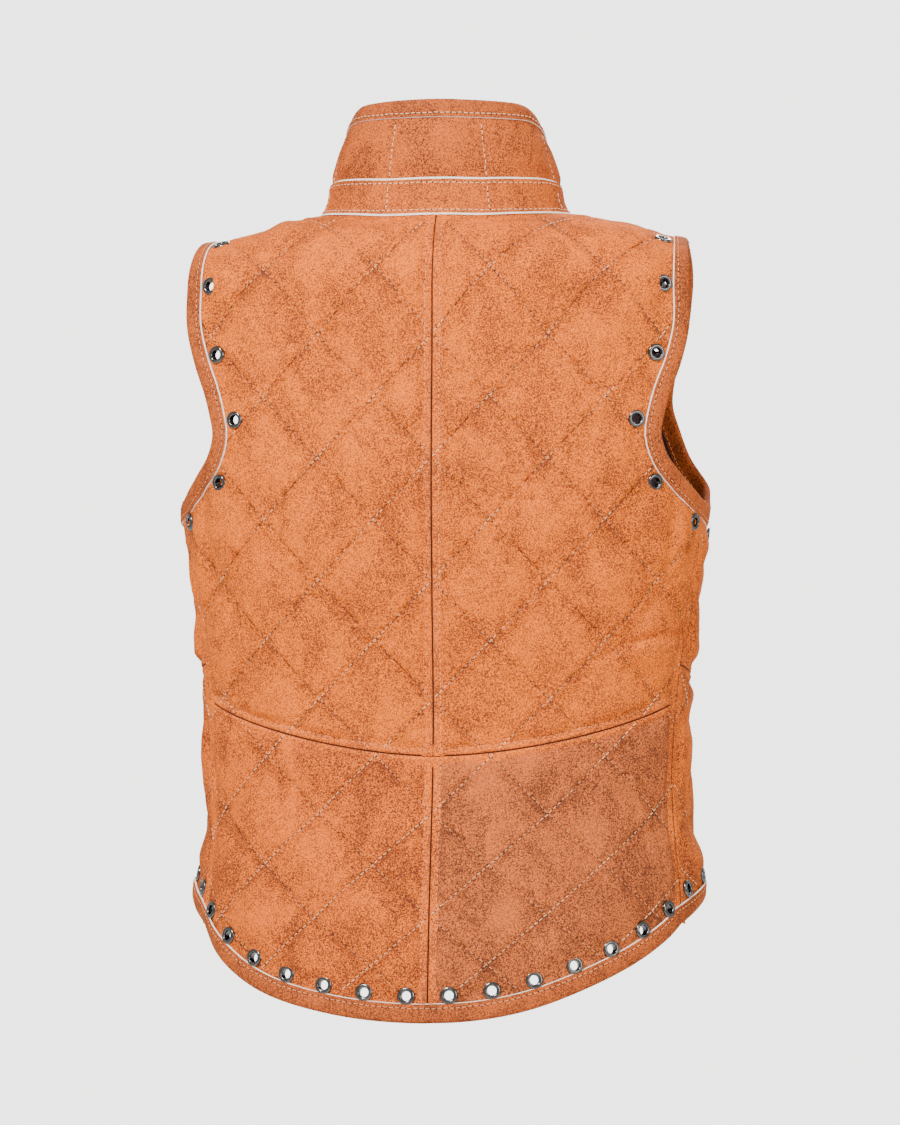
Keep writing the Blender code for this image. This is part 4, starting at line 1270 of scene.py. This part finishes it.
def seam_rolls(materials):
    """One pair of rounded rolls for each seam, by the panel that carries it."""
    made = {}
    jobs = [("centre_back_seam", "back", ("upper", "lower"), 1)]
    for face in FACES:
        jobs.append(("waist_seam", face, ("upper",), 1))
        jobs.append(("waist_seam", face, ("lower",), -1))
        jobs.append(("side_seam", face, ("upper", "lower"), 1))
        jobs.append(("shoulder_seam", face, ("upper",), -1))
    for seed, (seam, face, parts, inwards) in enumerate(jobs):
        line = sewn_lines(face)[seam]
        above = line[:, 1] > WAIST[face]["side" if seam == "side_seam" else "centre"]
        stretches = {"upper": line[above], "lower": line[~above]} if len(parts) == 2 else {parts[0]: line}
        for part, stretch in stretches.items():
            for side in SIDES:
                name = f"{seam}_roll_{face}_{part}_{side}"
                frames = edge_frames(side, face, stretch, inwards)
                mesh = loft(name, frames, ROLL_SECTION, False, seed * 3 + 1, ROLL_WANDER)
                made.setdefault(f"{face}_{part}_{side}", []).append(new_object(name, mesh, materials))
    return made


# Eyelets


def spaced_places(runs, start, spacing, count):
    """Places along a chain of (face, line) runs, measured on the figure; spread evenly without a spacing."""
    links, total = [], 0.0
    for face, line in runs:
        worn = inside(face, *line.T)
        for begin, end, length in zip(line, line[1:], np.linalg.norm(np.diff(worn, axis=0), axis=1)):
            links.append((total, length, face, begin, end))
            total += length
    places = []
    for i in range(count):
        wanted = start + (spacing or total / count) * i
        at, length, face, begin, end = next(link for link in reversed(links) if link[0] <= wanted)
        places.append((face, tuple(begin + (end - begin) * (wanted - at) / length)))
    return places


def armhole_eyelets():
    lines = {face: offset_line(armhole_line(face, EYELET_LINE_STEP), EYELET_FROM_EDGE) for face in FACES}
    runs = [("back", lines["back"][::-1]), ("front", lines["front"])]
    return spaced_places(runs, ARMHOLE_EYELET_START, None, ARMHOLE_EYELETS)


def hem_eyelets():
    edges = {face: hem_line(face, None, EYELET_LINE_STEP) for face in FACES}
    lines = {face: offset_line(edge, HEM_EYELET_FROM_EDGE) for face, edge in edges.items()}
    runs = [("back", lines["back"]), ("front", lines["front"][::-1])]
    count = HEM_EYELETS_BEHIND + HEM_EYELETS_BEFORE
    return spaced_places(runs, HEM_EYELET_SPACING / 2, HEM_EYELET_SPACING, count)


EYELET_PROFILE = (
    # radius, height over the wall's inner side
    (3.55, 3.2),
    (3.6, 4.0),
    (3.85, 4.65),
    (4.3, 5.05),
    (5.1, 5.2),
    (5.9, 5.0),
    (6.5, 4.55),
    (6.85, 3.8),
    (6.9, 3.1),
    (5.7, 2.95),
    (4.2, 2.9),
    (4.2, -0.15),
    (5.7, -0.2),
    (6.0, -0.5),
    (5.6, -0.95),
    (4.8, -1.25),
    (4.2, -1.45),
    (3.8, -1.3),
    (3.6, -0.9),
    (3.55, -0.2),
)


def eyelet_group(name, side, places, materials, nodes):
    """Eyelets in one piece: each a rolled flange and washer turned about its own axis."""
    turn = np.linspace(0.0, 2 * math.pi, EYELET_SIDES, endpoint=False)
    profile = np.array(EYELET_PROFILE)
    count = len(profile)
    points, faces = [], []
    for face, (around, along) in places:
        out = outward(face, around, along)
        centre = inside(face, around, along) + out * float(fold_rise(side, face, around, along))
        beside = unit(inside(face, around + 1.0, along) - inside(face, around, along))
        beside = unit(beside - out * np.dot(beside, out))
        above = np.cross(out, beside)
        ring_side = np.cos(turn)[:, None] * beside + np.sin(turn)[:, None] * above
        body = centre + ring_side[:, None, :] * profile[None, :, :1] + out * profile[None, :, 1:]
        body[..., 0] *= SIDES[side]
        body[..., 2] -= drop(side, face, around, along)
        first = len(points) * EYELET_SIDES * count
        points.append(body.reshape(-1, 3))
        for i in range(EYELET_SIDES):
            here, ahead = first + i * count, first + (i + 1) % EYELET_SIDES * count
            for j in range(count):
                k = (j + 1) % count
                quad = (here + j, here + k, ahead + k, ahead + j)
                faces.append(quad if SIDES[side] > 0 else quad[::-1])
    mesh = solid(name, np.concatenate(points), faces, [0] * len(faces), SHARP["eyelet"])
    return new_object(name, mesh, materials, nodes)


# Sewing


def stitches_on(path, normals, valid=None, start=0.0):
    """Stitches spaced evenly on a path on the figure: rows of stations and of the way out at each."""
    run = np.concatenate(([0.0], np.cumsum(np.linalg.norm(np.diff(path, axis=0), axis=1))))
    pitch = STITCH + STITCH_GAP
    begin = start + pitch * np.arange(int((run[-1] - start) / pitch))
    at = begin[:, None] + THREAD_FORM[:, 0] * STITCH
    if valid is not None:
        at = at[np.interp(at, run, valid.astype(float)).min(axis=1) > 0.99]
    stations = np.stack([np.interp(at, run, path[:, k]) for k in range(3)], axis=-1)
    return stations, unit(np.stack([np.interp(at, run, normals[:, k]) for k in range(3)], axis=-1))


def thread_object(name, rows, materials):
    """All stitches of a piece as short bent threads, with a dark disc of painted shade for the needle hole
    before each.
    """
    stations, out = (np.concatenate([row[k] for row in rows]) for k in (0, 1))
    total = len(stations)
    lift, sway_share, radius_share = THREAD_FORM[:, 1:].T[:, None, :, None]
    along = unit(np.gradient(stations, axis=1))
    beside = unit(np.cross(along, out))
    source = np.random.default_rng(total)
    sway = source.normal(0.0, THREAD_SWAY, (total, 1, 1)) * beside
    swell = np.cumsum(source.normal(0.0, 0.05, total))
    rise = THREAD_SINK["slow"] * np.sin(swell * 2.0) + source.normal(0.0, THREAD_SINK["each"], total)
    stations = stations + out * (rise + THREAD_SINK["mean"])[:, None, None]
    centre = stations + out * lift + sway * sway_share
    radius = THREAD_RADIUS * radius_share
    ring = [centre + beside * radius, centre + out * radius, centre - beside * radius, centre - out * radius]
    body = np.stack(ring, axis=2)
    around = [(k, (k + 1) % 4, (k + 1) % 4 + 4, k + 4) for k in range(4)]
    tube = [np.add(face, 4 * s) for s in range(4) for face in around]
    tube = np.array([*tube, (3, 2, 1, 0), (16, 17, 18, 19)])
    faces = (tube[None] + np.arange(total)[:, None, None] * 20).reshape(-1, 4)
    # Discs of painted shade, one over each needle hole
    turn = np.linspace(0.0, 2 * math.pi, 6, endpoint=False)[None, :, None]
    middle = stations[:, 0] - along[:, 0] * STITCH_GAP * 0.5 + out[:, 0] * NEEDLE_HOLE_RISE
    oval = np.cos(turn) * along[:, :1] * NEEDLE_HOLE_OVAL + np.sin(turn) * beside[:, :1]
    hole_shade_discs = middle[:, None] + NEEDLE_HOLE * oval
    holes = np.arange(6) + total * 20 + np.arange(total)[:, None] * 6
    mesh = bpy.data.meshes.new(name)
    points = np.concatenate((body.reshape(-1, 3), hole_shade_discs.reshape(-1, 3)))
    mesh.from_pydata((points * MM).tolist(), [], faces.tolist() + holes.tolist())
    marks = np.repeat((0, 1), (len(faces), total)).astype(np.int32)
    mesh.polygons.foreach_set("material_index", marks)
    mesh.polygons.foreach_set("use_smooth", np.ones(len(marks), dtype=bool))
    mesh.update()
    return new_object(name, mesh, materials)


def quilting_stitches(side, face, part, holes):
    """Stitch rows of one panel's two crossing families of lines: rising, then falling."""
    outline = panel_outline(face, part)
    low, high = quilt_row(outline[:, 1].max()), quilt_row(outline[:, 1].min())
    widest = outline[:, 0].max() / QUILT_WIDTH
    families = {"rising": [], "falling": []}
    for kind, sign in (("rising", 1.0), ("falling", -1.0)):
        for line in range(math.floor(-high - 1), math.ceil(widest + high + 1) + 1):
            row = np.arange(low, high, QUILT_LINE_STEP)
            column = line - sign * row
            chosen = (column > -QUILT_LINE_PLAY[0]) & (column < widest + QUILT_LINE_PLAY[1])
            if chosen.sum() < SHORTEST_ROW:
                continue
            around = np.maximum(column[chosen], 0.0) * QUILT_WIDTH + inner_edge(face)
            along = row_height(row[chosen])
            edge, seam = margins(face, around, along)
            valid = within(outline, around, along) & (edge > CLEAR_OF_BINDING) & (seam > CLEAR_OF_SEAM)
            for u, v in holes:
                valid &= np.hypot(around - u, along - v) > CLEAR_OF_EYELET
            if not valid.any():
                continue
            path = wrap(side, face, around, along, surface_height(face, around, along))
            shift = random.Random(f"{side}{face}{part}{kind}{line}").uniform(0.0, STITCH_SHIFT)
            families[kind].append(stitches_on(path, worn_outward(side, face, around, along), valid, shift))
    return families


def panel_topstitching(side, face, part):
    """All the topstitched rows of one panel: beside its middle, waist and shoulder seams."""
    rows = []
    for seam, line in sewn_lines(face).items():
        if seam == "side_seam" or (part == "lower" and seam in ("waist_seam", "shoulder_seam")):
            continue
        for distance in (-TOPSTITCH, TOPSTITCH):
            places = curve_through(offset_line(line, distance), TOPSTITCH_STEP).T
            clear = margins(face, *places)[0] > CLEAR_OF_BINDING
            valid = clear & within(panel_outline(face, part), *places)
            worn = wrap(side, face, *places, surface_height(face, *places) - TOPSTITCH_SUNK)
            rows.append(stitches_on(worn, worn_outward(side, face, *places), valid, TOPSTITCH_START))
    return rows


def collar_stitches():
    """The collar's upright channels and the two rows along the neck band."""
    band = COLLAR_SEWING["band"]
    end = collar_end(FRONT_EDGE / 2) - band["from_end"]
    round_band = np.arange(-end, end, band["step"])
    lines = []
    for share in (-2.5, -1.5, -0.5, 0.5, 1.5, 2.5):
        around = share * COLLAR_CHANNEL
        foot, top = COLLAR_SEWING["from_band"], float(collar_edge_height(around)) - COLLAR_SEWING["from_top"]
        along = np.arange(BAND_SHARE * COLLAR_HEIGHT + foot, top, COLLAR_SEWING["step"])
        lines.append((around, along, collar_height_at(around, along)))
        lines.append((around, np.arange(*band["upright"], COLLAR_SEWING["step"]), band["out"]))
    lines += [(round_band, along, out) for along, out in band["rows"]]
    rows = []
    for line in lines:
        path = collar_place(*line)
        rows.append(stitches_on(path, unit(path - collar_place(*line[:2], 0.0))))
    return rows


def strip_stitches(frames, row, closed, seed, wander):
    """Topstitching along a lofted strip, wandering as the strip does."""
    d, w, share = row
    into, out = strip_wander(len(frames), seed, wander)
    deep, high = d + into * share, w + out * share * WANDER_OUT["in_section"]
    path = frames[:, 0] + frames[:, 1] * deep[:, None] + frames[:, 2] * high[:, None]
    normals = frames[:, 2] * np.sign(w)
    if closed:
        path, normals = np.concatenate((path, path[:1])), np.concatenate((normals, normals[:1]))
    return stitches_on(path, normals)


# Materials


class Finish:
    """A material being made, with short ways to add and join its nodes."""

    def __init__(self, name, roughness=0.9):
        self.material = bpy.data.materials.new(name)
        self.material.use_nodes = True
        self.tree = self.material.node_tree
        self.shader = self.tree.nodes["Principled BSDF"]
        self.shader.inputs["Roughness"].default_value = roughness

    def put(self, socket, value):
        if isinstance(value, bpy.types.NodeSocket):
            self.tree.links.new(value, socket)
        else:
            socket.default_value = value

    def math(self, operation, first, second=0.0):
        made = self.tree.nodes.new("ShaderNodeMath")
        made.operation = operation
        self.put(made.inputs[0], first)
        self.put(made.inputs[1], second)
        return made.outputs[0]

    def mix(self, share, first, second):
        made = self.tree.nodes.new("ShaderNodeMix")
        made.data_type = "RGBA"
        self.put(made.inputs[0], share)
        for socket, value in ((made.inputs[6], first), (made.inputs[7], second)):
            self.put(socket, (*value, 1.0) if isinstance(value, tuple) else value)
        return made.outputs[2]

    def noise(self, scale, detail=3.0, roughness=0.5, distortion=0.0, stretch=None):
        made = self.tree.nodes.new("ShaderNodeTexNoise")
        place = self.tree.nodes.new("ShaderNodeTexCoord").outputs["Object"]
        if stretch:
            moved = self.tree.nodes.new("ShaderNodeMapping")
            moved.inputs["Rotation"].default_value = stretch[0]
            moved.inputs["Scale"].default_value = stretch[1]
            self.put(moved.inputs["Vector"], place)
            place = moved.outputs["Vector"]
        for name, value in (
            ("Vector", place),
            ("Scale", scale),
            ("Detail", detail),
            ("Roughness", roughness),
            ("Distortion", distortion),
        ):
            self.put(made.inputs[name], value)
        return made.outputs["Fac"]

    def spread(self, value, low, high, to_low=0.0, to_high=1.0):
        made = self.tree.nodes.new("ShaderNodeMapRange")
        made.interpolation_type = "SMOOTHSTEP"
        for name, number in (
            ("Value", value),
            ("From Min", low),
            ("From Max", high),
            ("To Min", to_low),
            ("To Max", to_high),
        ):
            self.put(made.inputs[name], number)
        return made.outputs[0]

    def bump(self, height, strength, distance, before=None):
        made = self.tree.nodes.new("ShaderNodeBump")
        made.inputs["Strength"].default_value = strength
        made.inputs["Distance"].default_value = distance
        self.put(made.inputs["Height"], height)
        if before:
            self.put(made.inputs["Normal"], before)
        return made.outputs[0]

    def done(self, colour, normal=None, **fixed):
        self.put(self.shader.inputs["Base Color"], colour)
        if normal:
            self.put(self.shader.inputs["Normal"], normal)
        for name, value in fixed.items():
            self.shader.inputs[name.replace("_", " ")].default_value = value
        return self.material


def suede(name, bright, dark, quilted=False, patchy=0.2):
    """Napped suede: short fibres, brushed light and dark patches, and, on quilted pieces, painted shade
    beside and along the stitch lines.
    """
    made = Finish(name)
    grain = made.noise(920.0, 1.5, 0.7)
    fibre = made.noise(1400.0, 1.0, 0.5, 0.4, ((0.4, 0.3, 0.7), (1.0, 1.0, 0.5)))
    patch = made.noise(120.0, 3.0, 0.6, 0.6)
    nap = made.noise(27.0, 4.0, 0.62, 1.1, ((0.2, 0.5, 0.6), (1.0, 1.0, 0.6)))
    hide = made.noise(12.0, 3.0, 0.6, 0.8)
    layers = (
        # noise, where its dark end stops, share of the tone
        (grain, 0.4, 1.0),
        (fibre, 0.36, 0.3),
        (patch, 0.34, 0.2),
        (nap, 0.36, 0.38),
        (hide, 0.36, patchy),
    )
    tone = MIDDLE_TONE - sum(row[2] for row in layers) / 2
    for noise, low, share in layers:
        tone = made.math("ADD", made.math("MULTIPLY", made.spread(noise, low, 1.0 - low), share), tone)
    if quilted:
        layer = made.tree.nodes.new("ShaderNodeUVMap")
        layer.uv_map = "quilt"
        split = made.tree.nodes.new("ShaderNodeSeparateXYZ")
        made.put(split.inputs[0], layer.outputs[0])
        column, row = split.outputs[0], split.outputs[1]
        wander = made.math("MULTIPLY", made.math("SUBTRACT", made.noise(70.0, 3.0), 0.5), 0.03)
        rising, falling = made.math("ADD", column, row), made.math("SUBTRACT", column, row)
        nearest = made.math("MINIMUM", *(made.math("PINGPONG", line, 0.5) for line in (rising, falling)))
        # Painted shade: a dark band on one side of each stitch line, broken up by noise
        shade_breakup = made.spread(made.noise(38.0, 2.0), 0.38, 0.6, 0.1, 1.0)
        for line in (rising, made.math("MULTIPLY", falling, -1.0)):
            beside = made.math("FRACT", made.math("ADD", line, wander))
            shade = made.math("MULTIPLY", made.spread(beside, 0.0, 0.12, 1.0, 0.0), shade_breakup)
            tone = made.math("SUBTRACT", tone, made.math("MULTIPLY", shade, 0.34))
    colour = made.mix(tone, dark, bright)
    speck = made.spread(made.noise(1150.0, 1.0, 0.5), 0.56, 0.7)
    colour = made.mix(made.math("MULTIPLY", speck, 0.55), colour, DEEP_SPECK_AND_CREASE_SHADE)
    if quilted:
        # Painted shade: a narrow dark line along each stitch line, where the thread sits in its crease
        broken = made.spread(made.noise(210.0, 2.0, 0.6), 0.36, 0.6, 0.15, 0.85)
        painted_crease_shade = made.math("MULTIPLY", made.spread(nearest, 0.005, 0.014, 1.0, 0.0), broken)
        colour = made.mix(painted_crease_shade, colour, DEEP_SPECK_AND_CREASE_SHADE)
    relief = made.math("ADD", made.math("MULTIPLY", grain, 0.6), made.math("MULTIPLY", fibre, 0.4))
    normal = made.bump(relief, 0.6, 0.0008)
    normal = made.bump(patch, 0.5, 0.0022, normal)
    if quilted:
        pucker = made.noise(150.0, 2.0, 0.5, 0.6)
        near = made.spread(nearest, 0.0, 0.18, 1.0, 0.0)
        normal = made.bump(made.math("MULTIPLY", pucker, near), 0.9, 0.005, normal)
    return made.done(
        colour,
        normal,
        Sheen_Weight=0.06,
        Sheen_Roughness=0.4,
        Sheen_Tint=(1.0, 0.5, 0.25, 1.0),
        Specular_IOR_Level=0.05,
    )


def raw_edge(name, pale, shade):
    """The pale fibrous core that a cut edge of suede shows."""
    made = Finish(name, 0.95)
    fibre = made.noise(1100.0, 4.0, 0.7)
    patch = made.noise(160.0, 3.0, 0.6)
    colour = made.mix(made.spread(made.math("ADD", fibre, patch), 0.75, 1.3), shade, pale)
    return made.done(colour, made.bump(fibre, 0.7, 0.0006), Specular_IOR_Level=0.1)


def lining_cloth(name, dark, light):
    """A plain dark woven lining with uneven threads."""
    made = Finish(name, 0.85)
    warp = made.noise(1300.0, 2.0, 0.5, 0.0, ((0.0, 0.0, 0.0), (1.0, 1.0, 0.06)))
    weft = made.noise(1300.0, 2.0, 0.5, 0.0, ((0.0, 0.0, 0.0), (0.06, 0.06, 1.0)))
    cross = made.math("MULTIPLY", made.math("ADD", warp, weft), 0.5)
    patch = made.noise(45.0, 4.0, 0.6)
    colour = made.mix(made.math("MULTIPLY", made.math("ADD", cross, patch), 0.6), dark, light)
    return made.done(colour, made.bump(cross, 0.3, 0.0004), Specular_IOR_Level=0.2, Sheen_Weight=0.1)


def thread(name, colour, shade):
    made = Finish(name, 0.6)
    twist = made.noise(2400.0, 2.0, 0.5, 0.0, ((0.6, 0.6, 0.0), (1.0, 1.0, 0.3)))
    return made.done(made.mix(made.spread(twist, 0.35, 0.65), shade, colour), made.bump(twist, 0.3, 0.0002))


def metal(name):
    """Dark gunmetal plating, rubbed a little paler and finely scratched."""
    made = Finish(name, 0.2)
    rub = made.noise(420.0, 4.0, 0.6)
    scratch = made.noise(1500.0, 2.0, 0.6, 0.0, ((0.0, 0.7, 0.0), (1.0, 1.0, 0.06)))
    colour = made.mix(made.spread(rub, 0.4, 0.75), (0.075, 0.070, 0.067), (0.16, 0.15, 0.14))
    made.put(made.shader.inputs["Roughness"], made.spread(rub, 0.3, 0.7, 0.1, 0.24))
    return made.done(
        colour, made.bump(scratch, 0.15, 0.0002), Metallic=1.0, Coat_Weight=0.7, Coat_Roughness=0.05
    )


def plain(name, colour, roughness):
    made = Finish(name, roughness)
    patch = made.noise(3.0, 2.0)
    return made.done(made.mix(made.spread(patch, 0.3, 0.7), tuple(c * 0.985 for c in colour), colour))


# The scene itself

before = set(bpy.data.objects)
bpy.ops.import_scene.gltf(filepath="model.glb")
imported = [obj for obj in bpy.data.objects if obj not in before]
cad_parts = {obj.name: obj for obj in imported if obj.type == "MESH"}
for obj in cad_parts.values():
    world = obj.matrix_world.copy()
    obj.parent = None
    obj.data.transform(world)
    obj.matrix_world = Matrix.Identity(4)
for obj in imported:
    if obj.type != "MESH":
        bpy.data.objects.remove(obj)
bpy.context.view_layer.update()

QUILTED = suede("quilted_suede_looks", (1.0, 0.196, 0.010), (0.22, 0.048, 0.019), True)
LOWER_SUEDE = suede("lower_suede_looks", (0.92, 0.176, 0.014), (0.16, 0.038, 0.018), True, 0.42)
WORN_SUEDE = suede("worn_suede_looks", (0.68, 0.155, 0.034), (0.13, 0.038, 0.020), True, 0.35)
COLLAR_SUEDE = suede("collar_suede_looks", (0.72, 0.146, 0.020), (0.14, 0.036, 0.018))
SEAM_SUEDE = suede("seam_suede_looks", (1.0, 0.200, 0.014), (0.26, 0.056, 0.021))
STRIP_SUEDE = suede("binding_suede_looks", (0.60, 0.126, 0.024), (0.16, 0.040, 0.018))
BAND_SUEDE = suede("band_suede_looks", (0.82, 0.172, 0.020), (0.20, 0.048, 0.020))
RAW = raw_edge("raw_suede_edge", (1.0, 0.93, 0.87), (0.95, 0.72, 0.55))
LINING = lining_cloth("plum_lining", (0.050, 0.026, 0.032), (0.13, 0.075, 0.090))
PALE_THREAD = thread("pale_thread", (1.0, 0.62, 0.36), (0.92, 0.42, 0.19))
ORANGE_THREAD = thread("orange_thread", (1.0, 0.40, 0.15), (0.60, 0.17, 0.05))
# Painted shade: dark discs standing for the shadow in each needle hole
NEEDLE_HOLE_SHADE = plain("needle_hole_shade", (0.035, 0.011, 0.006), 1.0)
# Painted shade: a near-black brown on the seam rolls' faces inside the groove
SEAM_GROOVE_SHADE = plain("seam_groove_shade", (0.12, 0.035, 0.017), 1.0)
GUNMETAL = metal("gunmetal_looks")

hem_places, armhole_places = hem_eyelets(), armhole_eyelets()
punched = {
    (face, part): [place for at, place in places if at == face]
    for face in FACES
    for part, places in (("upper", armhole_places), ("lower", hem_places))
}
pieces = {}
for (face, part), holes in punched.items():
    for side, piece in zip(SIDES, panels(face, part, holes, (QUILTED, LINING))):
        if part == "lower":
            piece.data.materials[0] = WORN_SUEDE if (face, side) == ("back", "right") else LOWER_SUEDE
        pieces[f"{face}_{part}_{side}"] = [piece]

for name, rolls in seam_rolls((SEAM_SUEDE, SEAM_GROOVE_SHADE)).items():
    pieces[name] += rolls

collar_piece = collar((COLLAR_SUEDE, LINING))
band_piece = neck_band((BAND_SUEDE, RAW))
collar_sewing = thread_object("collar_stitching", collar_stitches(), (PALE_THREAD, NEEDLE_HOLE_SHADE))

jobs = [(f"armhole_binding_{side}", armhole_frames(side), True) for side in SIDES]
jobs += [("hem_binding", hem_frames(), False)]
jobs += [(f"front_binding_{side}", front_frames(side), False) for side in SIDES]
jobs += [("collar_binding", collar_frames(), False)]
for seed, (node, strip_frames, closed) in enumerate(jobs, STRIP_SEED):
    mesh = loft(f"{node}_strip", strip_frames, BINDING_SECTION, closed, seed, STRIP_WANDER)
    strip = new_object(f"{node}_strip", mesh, (STRIP_SUEDE, RAW), (node,))
    rows = [strip_stitches(strip_frames, row, closed, seed, STRIP_WANDER) for row in BINDING_ROWS]
    finish = PALE_THREAD if node == "collar_binding" else ORANGE_THREAD
    thread_object(f"{node}_stitching", rows, (finish, NEEDLE_HOLE_SHADE))

for side in SIDES:
    for name, places, modelled in (
        ("armhole_eyelet", armhole_places, True),
        ("hem_eyelet", hem_places[:HEM_EYELETS_BEHIND], True),
        ("front_hem_eyelet", hem_places[HEM_EYELETS_BEHIND:], False),
    ):
        nodes = [f"{name}_{side}_{i + 1:02d}" for i in range(len(places))] if modelled else []
        eyelet_group(f"{name}s_{side}", side, places, (GUNMETAL,), nodes)

for (face, part), holes in punched.items():
    for side in SIDES:
        sewn = quilting_stitches(side, face, part, holes)
        threads = (PALE_THREAD, ORANGE_THREAD) if side == "right" else (ORANGE_THREAD, PALE_THREAD)
        for (kind, rows), finish in zip(sewn.items(), threads):
            if finish is ORANGE_THREAD:
                rows = rows + panel_topstitching(side, face, part)
            made = thread_object(f"{face}_{part}_{side}_{kind}_thread", rows, (finish, NEEDLE_HOLE_SHADE))
            pieces[f"{face}_{part}_{side}"].append(made)


# The outline each piece of cloth was cut to, worked out again and not used


for name, group in pieces.items():
    face, part, side = name.split("_")
    outline = panel_outline(face, part)


# Floor, light and camera, in metres and watts

FLOOR_RADIUS, FLOOR_HEIGHT = 3.0, -1.45
BACKDROP = ((1.0, 1.0, 0.985, 1.0), 3.38)
AMBIENT = ((1.0, 1.0, 1.0, 1.0), 0.72)
LIGHTS = (
    # name, place, what it shines at, width and height, power
    ("key", (-0.9, -2.1, 1.7), (0, 0, -0.25), (0.8, 0.8), 136.0),
    ("fill", (1.9, -1.9, 0.3), (0, 0, -0.3), (1.4, 1.4), 34.0),
    ("behind", (0.6, 2.4, 1.4), (0, 0, -0.2), (1.6, 1.2), 80.0),
)
CAMERA_TURN = math.radians(5.5)
CAMERA_DISTANCE = 3.0
CAMERA_HEIGHT = -0.276
SENSOR_WIDTH = 36.0
FOCAL_LENGTH = 151.9
SHIFT_ACROSS = 0.0043

circle = bmesh.new()
place = Matrix.Translation((0, 0, FLOOR_HEIGHT))
bmesh.ops.create_circle(circle, cap_ends=True, segments=96, radius=FLOOR_RADIUS, matrix=place)
floor = placed("floor", to_mesh("floor", circle))
floor.data.materials.append(plain("pale_floor", (0.80, 0.80, 0.79), 0.9))

world = bpy.data.worlds.new("studio")
world.use_nodes = True
nodes, links = world.node_tree.nodes, world.node_tree.links
seen, lit = nodes["Background"], nodes.new("ShaderNodeBackground")
for background, (colour, strength) in ((seen, BACKDROP), (lit, AMBIENT)):
    background.inputs["Color"].default_value = colour
    background.inputs["Strength"].default_value = strength
both = nodes.new("ShaderNodeMixShader")
links.new(nodes.new("ShaderNodeLightPath").outputs["Is Camera Ray"], both.inputs[0])
links.new(lit.outputs[0], both.inputs[1])
links.new(seen.outputs[0], both.inputs[2])
links.new(both.outputs[0], nodes["World Output"].inputs["Surface"])
bpy.context.scene.world = world

for name, place, target, size, power in LIGHTS:
    lamp = bpy.data.lights.new(name, "AREA")
    lamp.shape = "RECTANGLE"
    lamp.size, lamp.size_y = size
    lamp.energy = power
    light = placed(name, lamp)
    light.location = place
    light.rotation_euler = (Vector(target) - Vector(place)).to_track_quat("-Z", "Y").to_euler()

lens = bpy.data.cameras.new("camera")
lens.sensor_fit = "HORIZONTAL"
lens.sensor_width = SENSOR_WIDTH
lens.lens = FOCAL_LENGTH
lens.shift_x = SHIFT_ACROSS
camera = placed("camera", lens)
across, behind = CAMERA_DISTANCE * math.sin(CAMERA_TURN), -CAMERA_DISTANCE * math.cos(CAMERA_TURN)
camera.location = (across, behind, CAMERA_HEIGHT)
camera.rotation_euler = (math.pi / 2, 0.0, CAMERA_TURN)
bpy.context.scene.camera = camera
